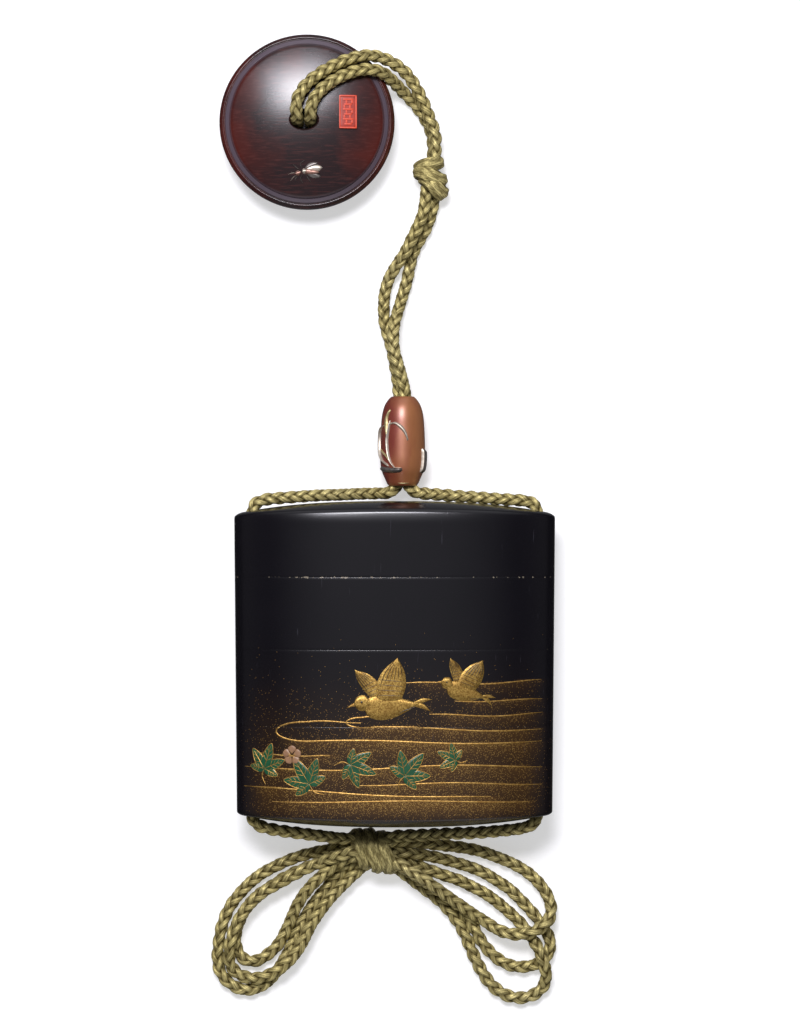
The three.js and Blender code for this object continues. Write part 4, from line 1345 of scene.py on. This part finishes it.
# A plover's parts: the two edges of each in body lengths, how high it stands and on what height,
# the points along its edges, and its finish. A wing has its leading edge first.
FAR_WING = ([(-0.32, 0.16), (-0.46, 0.38), (-0.56, 0.6), (-0.58, 0.8)],
            [(-0.06, 0.2), (-0.12, 0.42), (-0.3, 0.66), (-0.58, 0.8)])
NEAR_WING = ([(-0.24, 0.1), (-0.2, 0.42), (-0.02, 0.7), (0.3, 0.92)],
             [(0.24, 0.04), (0.38, 0.32), (0.4, 0.62), (0.3, 0.92)])
BODY = ([(-0.5, -0.02), (-0.44, -0.16), (-0.24, -0.26), (0.04, -0.26), (0.36, -0.16),
         (0.62, -0.05)],
        [(-0.5, -0.02), (-0.46, 0.14), (-0.26, 0.24), (0.04, 0.2), (0.34, 0.07), (0.62, -0.05)])
HEAD = ([(-0.7, 0.12), (-0.6, -0.02), (-0.44, -0.02), (-0.34, 0.1)],
        [(-0.7, 0.12), (-0.62, 0.25), (-0.46, 0.27), (-0.34, 0.1)])
BEAK = ([(-0.86, 0.06), (-0.76, 0.07), (-0.66, 0.08)],
        [(-0.86, 0.06), (-0.76, 0.12), (-0.66, 0.16)])
LOWER_TAIL = ([(0.5, -0.09), (0.66, -0.16), (0.82, -0.24)],
              [(0.5, -0.02), (0.68, -0.06), (0.82, -0.24)])
UPPER_TAIL = ([(0.5, -0.07), (0.68, -0.04), (0.88, 0.0)],
              [(0.5, 0.0), (0.68, 0.05), (0.88, 0.0)])
EYE = ([(-0.56, 0.14), (-0.53, 0.115), (-0.5, 0.14)],
       [(-0.56, 0.14), (-0.53, 0.165), (-0.5, 0.14)])
PLOVER = [
    (*FAR_WING[::-1], 0.14, 0.0, 36, GOLD_SOFT),
    (*BODY, 0.26, 0.0, 36, GOLD_SOFT),
    (*HEAD, 0.3, 0.0, 36, GOLD_SOFT),
    (*BEAK, 0.2, 0.0, 12, GOLD),
    (*LOWER_TAIL, 0.14, 0.0, 14, GOLD_SOFT),
    (*UPPER_TAIL, 0.14, 0.0, 14, GOLD_SOFT),
    (*NEAR_WING[::-1], 0.2, 0.12, 36, GOLD_SOFT),
    (*EYE, 0.05, 0.3, 8, INK),
]


def feather_lines(low, top, base):
    """A wing's feathers in dark lines at the height base: six along it, each starting further
    out than the last, and four across. low and top are its edges, as 60 points each."""
    elements = []
    for row in range(1, 7):
        stroke = (low + (top - low) * (row / 7))[14 + 3 * row:54 - row:5]
        elements.append((ribbon(on_case, stroke, 0.17, 0.03, base, 0.3), INK))
    for row in range(8, 32, 6):
        across = low[row] + np.outer(np.linspace(0.08, 0.9, 7), top[row] - low[row])
        elements.append((ribbon(on_case, across, 0.13, 0.025, base, 0.3), INK))
    return elements


def plover(centre, size, heading):
    """A plover on the wing, facing left: a full body, round head, short beak and forked tail,
    and two raised wings with their feathers drawn in dark lines. Sizes are in body lengths."""
    turn = math.radians(heading)
    spin = np.array([[math.cos(turn), math.sin(turn)], [-math.sin(turn), math.cos(turn)]])

    def at(points):
        return np.asarray(centre) + size * np.asarray(points, float) @ spin

    elements = []
    for low, top, height, base, count, material in PLOVER:
        low, top = even_edge(at(low), count), even_edge(at(top), count)
        elements.append((relief(on_case, low, top, height, base, columns=16), material))
    for low, top, base in ((*NEAR_WING, 0.31), (*FAR_WING, 0.13)):
        elements += feather_lines(even_edge(at(low), 60), even_edge(at(top), 60), base)
    for row in range(3):
        stroke = at([(0.02 + 0.08 * row, -0.1 - 0.04 * row), (0.26, -0.09 - 0.03 * row),
                     (0.5, -0.08 - 0.015 * row)])
        elements.append((ribbon(on_case, stroke, 0.14, 0.025, 0.2, 0.3), INK))
    return elements


def make_birds():
    """Two plovers on the wing over the water."""
    elements = plover((-1.2, -8.6), 10.8, 8) + plover((15.2, -5.6), 8.0, -12)
    relief_piece("plovers_gold", "lacquer", elements)


def blade(base, length, width, heading):
    """One pointed lobe of a leaf in green, with a gold edge, a midrib and side veins."""
    ahead = np.array([math.cos(math.radians(heading)), math.sin(math.radians(heading))])
    tip = np.asarray(base) + length * ahead
    right, left = swelling(base, tip, width, 0.7, 26)
    spine = (right + left) / 2
    elements = [(relief(on_case, right, left, 0.12, columns=12, power=8), GREEN)]
    rim = np.concatenate([right[9:], left[::-1][1:-9]])[::2]
    elements.append((ribbon(on_case, rim, 0.2, 0.05, 0.06, 0.3, taper=0.02), GOLD))
    elements.append((ribbon(on_case, spine[1:-1:3], 0.2, 0.05, 0.12, 0.3), GOLD))
    for index in (8, 12, 16):
        for edge in (right, left):
            stop = edge[index + 4] * 0.85 + spine[index + 4] * 0.15
            vein = np.stack([spine[index], (spine[index] + stop) / 2 - 0.03 * width * ahead, stop])
            elements.append((ribbon(on_case, vein, 0.14, 0.04, 0.11, 0.3), GOLD))
    return elements


def maple_leaf(base, size, heading):
    """Five blades spread from one point, the middle one longest, and a short curved stem."""
    elements = []
    for spread, length in ((-98, 0.6), (98, 0.6), (-50, 0.88), (50, 0.88), (0, 1.0)):
        elements += blade(base, size * length, size * 0.42 * length ** 0.5, heading + spread)
    back = math.radians(heading + 180)
    base = np.asarray(base, float)
    stem = [base, base + 0.3 * size * np.array([math.cos(back), math.sin(back)]),
            base + 0.6 * size * np.array([math.cos(back + 0.4), math.sin(back + 0.4)])]
    elements.append((ribbon(on_case, stem, 0.26, 0.06, 0.02, 0.3), GOLD))
    return elements


def blossom(centre, size):
    """A five-petalled blossom with gold stamens."""
    elements = []
    centre = np.asarray(centre, float)
    for heading in np.radians(np.arange(5) * 72 + 90):
        out = np.array([math.cos(heading), math.sin(heading)])
        right, left = swelling(centre + 0.1 * size * out, centre + size * out, 0.85 * size, 1.6, 16)
        elements.append((relief(on_case, right, left, 0.16, 0.03, columns=10), PETAL))
        stamen = centre + np.outer([0.08, 0.3, 0.5], size * out)
        elements.append((ribbon(on_case, stamen, 0.15, 0.04, 0.17, 0.2), GOLD))
    return elements


def make_leaves():
    """Maple leaves and blossoms afloat near the foot of the case."""
    elements = []
    for base, size, heading in (((-28.8, -22.4), 5.8, 72), ((-18.6, -25.6), 6.6, 122),
                                ((-9.6, -21.4), 6.0, -20), ((2.2, -23.8), 6.4, 50),
                                ((13.2, -20.4), 4.4, 155), ((57.6, -22.8), 5.4, 70)):
        elements += maple_leaf(base, size, heading)
    elements += blossom((-22.4, -19.4), 2.1) + blossom((61.8, -16.8), 1.7)
    relief_piece("leaves_green", "lacquer", elements)


make_case()
make_streams()
make_birds()
make_leaves()

# ---- the bead ----------------------------------------------------------------------------

# The bead's outline and its bore, as distances from its upper end and radii.
BEAD_OUTLINE = [(0.3, 2.5), (0.75, 3.0), (2.1, 3.9), (4.3, 4.52), (7.6, 4.8), (12.0, 4.93),
                (14.6, 4.9), (16.4, 4.66), (18.4, 3.85), (19.4, 3.4), (19.85, 3.0)]
BEAD_BORE = [(19.9, 2.8), (19.3, 2.5), (17.5, 2.15), (10.0, 2.1), (1.5, 2.1), (0.5, 2.2),
             (0.25, 2.35)]


def round_bead(radius, turn, d):
    """Points at a radius from the bead's axis and a turn from its top line, d below its end."""
    return np.stack([BEAD_X + radius * np.sin(turn), BEAD_TOP - d + 0 * turn,
                     BEAD_Z + radius * np.cos(turn)], axis=-1)


def on_bead(s, d, lift):
    """Points of the bead at arc s from its top line, d below its upper end, raised by lift."""
    outline = smooth_line(BEAD_OUTLINE, 0.1)
    radius = np.interp(d, outline[:, 0], outline[:, 1]) + lift
    return round_bead(radius, s / BEAD_RADIUS, d)


def make_bead():
    """The turned barrel: its outline and its bore carried round its axis as one closed skin."""
    profile = np.concatenate([smooth_line(BEAD_OUTLINE, 0.28), smooth_line(BEAD_BORE, 0.5)])
    columns = 112
    turn = np.linspace(0, 2 * math.pi, columns, endpoint=False)
    rings = round_bead(profile[:, 1:], turn, profile[:, :1])
    rings = np.concatenate([rings, rings[:1]])
    faces = grid_faces(len(rings), columns, True) % (columns * (len(rings) - 1))
    points = rings[:-1].reshape(-1, 3)
    piece = make_piece("ojime_copper", points, facing_out(points, [faces]), sharp=45)
    keep(piece, "ojime_metal", COPPER, replaces=["ojime"])


# The bead's picture in lines. Each has its path in arc and depth, its width and height, the step
# between its points, its taper, the points across it, and its metal.
PLANT_AND_FENCE = [
    # A gold bud, a silver stem that curls down from it, and two silver leaves.
    ([(-3.3, 3.2), (-4.0, 4.6), (-4.2, 6.2), (-3.6, 9.4)], 1.3, 0.4, 0.2, 0.6, 9, INLAY_GOLD),
    ([(-3.0, 5.6), (-3.3, 7.6), (-3.7, 9.8), (-3.4, 12.6), (-2.7, 14.6), (-1.8, 16.0)],
     0.75, 0.5, 0.2, 0.5, 9, INLAY_SILVER),
    ([(-3.0, 6.3), (-1.6, 6.2), (-0.2, 7.2), (0.6, 8.4), (1.1, 9.9)],
     0.9, 0.5, 0.2, 0.5, 9, INLAY_SILVER),
    ([(-4.6, 6.6), (-6.0, 7.2), (-7.2, 8.6), (-7.3, 10.4), (-6.6, 12.6), (-5.2, 14.2),
      (-3.4, 15.2)], 0.45, 0.6, 0.2, 0.35, 9, INLAY_SILVER),
    # Two runners low down.
    ([(-6.0, 11.8), (-4.6, 12.8), (-3.4, 13.8), (-2.4, 15.2)],
     0.5, 0.4, 0.2, 0.35, 7, INLAY_GOLD),
    ([(-5.4, 14.4), (-4.2, 15.0), (-3.2, 15.6)], 0.5, 0.4, 0.2, 0.35, 5, INLAY_SILVER),
    # The dark ground that it grows from, with a painted highlight in silver along its top.
    ([(-6.6, 16.1), (-4.4, 16.3), (-2.2, 16.5), (-0.1, 16.3)],
     1.15, 0.55, 0.2, 0.08, 9, INLAY_DARK),
    ([(-1.9, 15.9), (-1.2, 16.0), (-0.2, 16.0)], 0.4, 0.68, 0.2, 0.35, 5, INLAY_SILVER),
    # The fence post: a painted highlight in silver down its edge, and painted shade in dark metal
    # down its side.
    ([(5.0, 11.7), (5.0, 14.0), (4.8, 16.9)], 0.5, 0.6, 0.3, 0.06, 9, INLAY_SILVER),
    ([(6.1, 11.9), (6.2, 14.2), (5.9, 17.1)], 1.6, 0.62, 0.3, 0.06, 9, INLAY_DARK),
    # A thin gold line at the bead's foot.
    ([(-1.5, 19.25), (0.2, 19.35), (1.9, 19.25)], 0.25, 0.1, 0.2, 0.35, 5, INLAY_GOLD),
]


def make_bead_relief():
    """A water plant and a fence post in gold and silver, worked proud of the copper."""
    elements = [(ribbon(on_bead, path, width, height, 0.0, step, taper, columns), metal)
                for path, width, height, step, taper, columns, metal in PLANT_AND_FENCE]
    relief_piece("ojime_plant_relief", "ojime_metal", elements)


make_bead()
make_bead_relief()

# ---- the toggle --------------------------------------------------------------------------


def face_height(r):
    """The dome's height above the floor at a distance r from the toggle's middle."""
    return TOGGLE_TOP - TOGGLE_FALL * (r / TOGGLE_DOME) ** 2


def on_toggle(x, y, lift):
    """Points of the dome at x, y from the toggle's middle, raised by lift."""
    return np.stack([TOGGLE[0] + x, TOGGLE[1] + y, face_height(np.hypot(x, y)) + lift], axis=-1)


def turned(profile, centre, columns):
    """A closed body turned about an upright axis from (radius, height) points."""
    turn = np.linspace(0, 2 * math.pi, columns, endpoint=False)
    radius, height = profile[:, :1], profile[:, 1:]
    rings = np.stack([centre[0] + radius * np.cos(turn), centre[1] + radius * np.sin(turn),
                      height + 0 * turn], axis=-1)
    return closed_rings(rings)


def toggle_profile():
    """The toggle's outline, from the middle of its flat base to the middle of its face: its
    rounded underside and side, a fine ring, a sloping band, a step and the dome."""
    base = np.stack([np.linspace(0.5, 13.3, 8), np.zeros(8)], axis=1)
    under = smooth_line([(13.6, 0.0), (14.6, 0.02), (15.8, 0.3), (17.2, 1.2), (18.3, 2.6),
                         (18.9, 4.2), (19.15, 5.8), (19.2, 6.9), (19.12, 7.4), (18.9, 7.85),
                         (18.66, 8.12)], 0.25)
    ring = smooth_line([(18.6, 8.2), (18.54, 8.46), (18.36, 8.56), (18.16, 8.5),
                        (18.06, 8.36)], 0.06)
    band = smooth_line([(17.98, 8.36), (17.86, 8.62), (17.5, 8.9), (17.14, 9.18),
                        (17.0, 9.22)], 0.08)
    step = smooth_line([(16.94, 9.18), (16.92, 9.4), (16.84, 9.62), (16.68, 9.82), (16.4, 9.99)],
                       0.06)
    radii = np.linspace(16.2, 0.3, 50)
    dome = np.stack([radii, face_height(radii)], axis=1)
    return np.concatenate([base, under, ring, band, step, dome])


def cord_hole():
    """The cutter for the cord's hole: a squashed round pit, flared at its mouth."""
    x, y, radius, depth = TOGGLE_HOLE
    bottom = TOGGLE_TOP - depth
    flare = np.array([(0.1, bottom), (radius - 0.5, bottom), (radius, bottom + 0.5),
                      (radius, 11.3), (radius + 0.1, 11.75), (radius + 0.35, 12.05),
                      (radius + 0.9, 12.35), (radius + 0.9, 14.0), (0.1, 14.0)])
    points, faces = turned(flare, (x, y), 64)
    points[:, 1] = y + (points[:, 1] - y) * HOLE_SQUASH
    return points, faces


def make_toggle():
    """The turned toggle, with the cord's hole cut through its face."""
    points, faces = turned(toggle_profile(), TOGGLE, 176)
    piece = make_piece("netsuke_lacquer_turned", points, faces, sharp=None)
    cut_away(piece, [cord_hole()])
    piece.data.set_sharp_from_angle(angle=math.radians(26))
    keep(piece, "netsuke_lacquer", TOGGLE_LACQUER, replaces=["netsuke"])


# The red tile's middle from the toggle's, its size, and its border's and strokes' height.
SEAL_X, SEAL_Y = 9.0, 1.8
SEAL_WIDTH, SEAL_HEIGHT = 3.9, 7.3
SEAL_RIM = 0.17
SEAL_PROUD = 0.24


def face_lean(x, y):
    """The matrix that turns upright into square to the dome at x, y: a turn by the dome's slope
    about the level line across it."""
    r = math.hypot(x, y)
    slope = math.atan(2 * TOGGLE_FALL * r / TOGGLE_DOME ** 2)
    axis = np.array([-y, x, 0]) / r
    cross = np.array([[0, -axis[2], axis[1]], [axis[2], 0, -axis[0]], [-axis[1], axis[0], 0]])
    return np.eye(3) + math.sin(slope) * cross + (1 - math.cos(slope)) * cross @ cross


def make_seal():
    """The red tile: a raised border round rows of short strokes that spell nothing, with two
    upright strokes between one row and the next."""
    lean = face_lean(SEAL_X, SEAL_Y)
    middle = on_toggle(SEAL_X, SEAL_Y, 0.0)
    half_x, half_y = SEAL_WIDTH / 2, SEAL_HEIGHT / 2
    shapes = []

    def block(x, y, z, half, material):
        shapes.append((pillow(middle + lean @ np.array([x, y, z]), half, lean), material))

    # The tile's recessed ground, in a darker red than its raised border and strokes.
    block(0, 0, -0.15, (half_x, half_y, 0.4), VERMILION_DARKER)
    for side in (-1, 1):
        block(side * (half_x - SEAL_RIM), 0, SEAL_PROUD, (SEAL_RIM, half_y, 0.18), VERMILION)
        block(0, side * (half_y - SEAL_RIM), SEAL_PROUD, (half_x, SEAL_RIM, 0.18), VERMILION)
    rows = np.linspace(-half_y + 0.95, half_y - 0.95, 6)
    for number, y in enumerate(rows):
        block(0.0, y, SEAL_PROUD, (1.15 if number % 2 else 0.85, 0.19, 0.17), VERMILION)
        if number < len(rows) - 1:
            between_rows = y + (rows[1] - rows[0]) / 2
            for x in ((-0.8, 0.45) if number % 2 else (-0.35, 0.9)):
                block(x, between_rows, SEAL_PROUD, (0.19, 0.36, 0.16), VERMILION)
    relief_piece("seal_plaque_red", "seal_lacquer", shapes, ["seal_plaque"])


# The insect's parts as pointed ovals. Each has its two tips, its width and bluntness, how high
# it stands and on what height, the points across it, and its metal.
INSECT = [
    # The body, the breast and the head.
    ((-0.7, -10.6), (2.9, -10.9), 1.4, 0.7, 0.75, 0.0, 12, INLAY_COPPER),
    ((-1.0, -10.7), (0.1, -10.5), 1.2, 0.8, 0.85, 0.0, 10, INLAY_SILVER),
    ((-2.5, -11.2), (-1.1, -10.8), 1.1, 0.8, 0.7, 0.0, 10, INLAY_COPPER),
    # The three wings that show.
    ((-0.2, -10.3), (3.5, -9.8), 1.8, 0.9, 0.4, 0.05, 12, INLAY_SILVER),
    ((-0.4, -10.1), (2.5, -8.8), 1.4, 0.9, 0.3, 0.05, 10, INLAY_DARK),
    ((0.0, -11.0), (3.1, -11.8), 1.3, 0.9, 0.3, 0.0, 10, INLAY_DARK),
]
LEGS = [
    [(-0.9, -10.2), (-1.3, -9.0), (-0.4, -8.3)],
    [(-1.4, -10.4), (-2.4, -9.7), (-3.0, -9.1)],
    [(-0.8, -11.2), (-1.3, -12.3), (-0.8, -13.2)],
    [(-1.7, -11.5), (-2.4, -12.2), (-2.5, -12.9)],
    [(-0.2, -11.2), (0.5, -12.4), (1.0, -13.0)],
]
FEELERS = [
    [(-2.4, -11.0), (-3.2, -11.0), (-4.0, -11.3)],
    [(-2.3, -11.5), (-3.0, -12.0), (-3.5, -12.7)],
]


def make_insect():
    """The inlaid insect: a copper body and head, a silver breast, silver and dark wings, and
    fine dark legs."""
    def on(x, y, lift):
        return on_toggle(x, y - 0.5, lift)

    shapes = []
    for start, stop, width, blunt, height, base, columns, metal in INSECT:
        edges = swelling(start, stop, width, blunt)
        shapes.append((relief(on, *edges, height, base, columns, 2), metal))
    for path in LEGS:
        shapes.append((ribbon(on, path, 0.24, 0.3, step=0.15), INLAY_DARK))
    for path in FEELERS:
        shapes.append((ribbon(on, path, 0.16, 0.16, step=0.15), INLAY_SILVER))
    relief_piece("insect_metal", "inlay_metal", shapes, replaces=["insect_inlay"])


make_toggle()
make_seal()
make_insect()

# ---- floor and light ---------------------------------------------------------------------


def make_floor():
    """A wide sheet of white opal acrylic, lit from below a little, so that the shadows that
    fall on it stay pale."""
    material, tree, shader = start_material("floor_opal", Roughness=0.9, Emission_Strength=0.5,
                                            Emission_Color=(1, 1, 1, 1))
    place = add_node(tree, "TexCoord").outputs["Object"]
    grain = add_node(tree, "TexNoise", {"Vector": place, "Scale": per_mm(2.0), "Detail": 2.0})
    tint = add_node(tree, "Mix", {0: grain.outputs["Fac"], 6: colour("CACACA"),
                                  7: colour("CECECE")}, data_type="RGBA").outputs[2]
    tree.links.new(tint, shader.inputs["Base Color"])
    half = 2500.0
    corners = np.array([(-half, -half, 0), (half, -half, 0), (half, half, 0), (-half, half, 0)])
    floor = make_piece("floor", corners, [np.array([[0, 1, 2, 3]])])
    floor.data.materials.append(material)
    floor.visible_glossy = False


def make_light(name, place, target, size, power, tint="FFFFFF"):
    """A rectangular soft light that faces a target point, in metres."""
    data = bpy.data.lights.new(name, "AREA")
    data.shape = "RECTANGLE"
    data.size, data.size_y = size
    data.energy = power
    data.color = colour(tint)[:3]
    lamp = bpy.data.objects.new(name, data)
    lamp.location = place
    away = np.asarray(place, float) - np.asarray(target, float)
    flat = math.hypot(away[0], away[1])
    lamp.rotation_euler = (math.atan2(flat, away[2]), 0, math.atan2(away[0], -away[1]))
    bpy.context.scene.collection.objects.link(lamp)


def make_world():
    """A studio with pale walls beyond the top and the foot of the set, dark ones at its sides
    and a dim ceiling, so that polished black lacquer still looks black. Its strength goes by
    the height of the direction looked in, and falls off to either side."""
    world = bpy.data.worlds.new("room")
    world.use_nodes = True
    tree = world.node_tree
    background = tree.nodes["Background"]
    background.inputs["Color"].default_value = (0.95, 0.96, 1.0, 1)
    place = add_node(tree, "TexCoord").outputs["Generated"]
    parts = add_node(tree, "SeparateXYZ", {"Vector": place}).outputs
    below = add_node(tree, "MapRange", {"Value": parts["Z"], "From Min": -0.1, "From Max": 0.1,
                                        "To Min": 0.2, "To Max": 1.0}).outputs[0]
    above = add_node(tree, "MapRange", {"Value": parts["Z"], "From Min": 0.42, "From Max": 0.84,
                                        "To Min": 0.0, "To Max": 0.74}).outputs[0]
    height = add_node(tree, "Math", {0: below, 1: above}, operation="SUBTRACT").outputs[0]
    aside = add_node(tree, "Math", {0: parts["X"]}, operation="ABSOLUTE").outputs[0]
    side = add_node(tree, "MapRange", {"Value": aside, "From Min": 0.2, "From Max": 0.6,
                                       "To Min": 1.0, "To Max": 0.1}).outputs[0]
    strength = add_node(tree, "Math", {0: height, 1: side}, operation="MULTIPLY").outputs[0]
    tree.links.new(strength, background.inputs["Strength"])
    bpy.context.scene.world = world


bpy.context.scene.view_settings.view_transform = "Standard"
make_floor()
make_world()
make_light("softbox_top", (-0.08, 0.395, 0.75), (0, 0.03, 0), (0.36, 0.26), 5.4, "F6F4FF")
make_light("softbox_core", (-0.075, 0.36, 0.72), (0, 0.03, 0), (0.18, 0.12), 1.9)
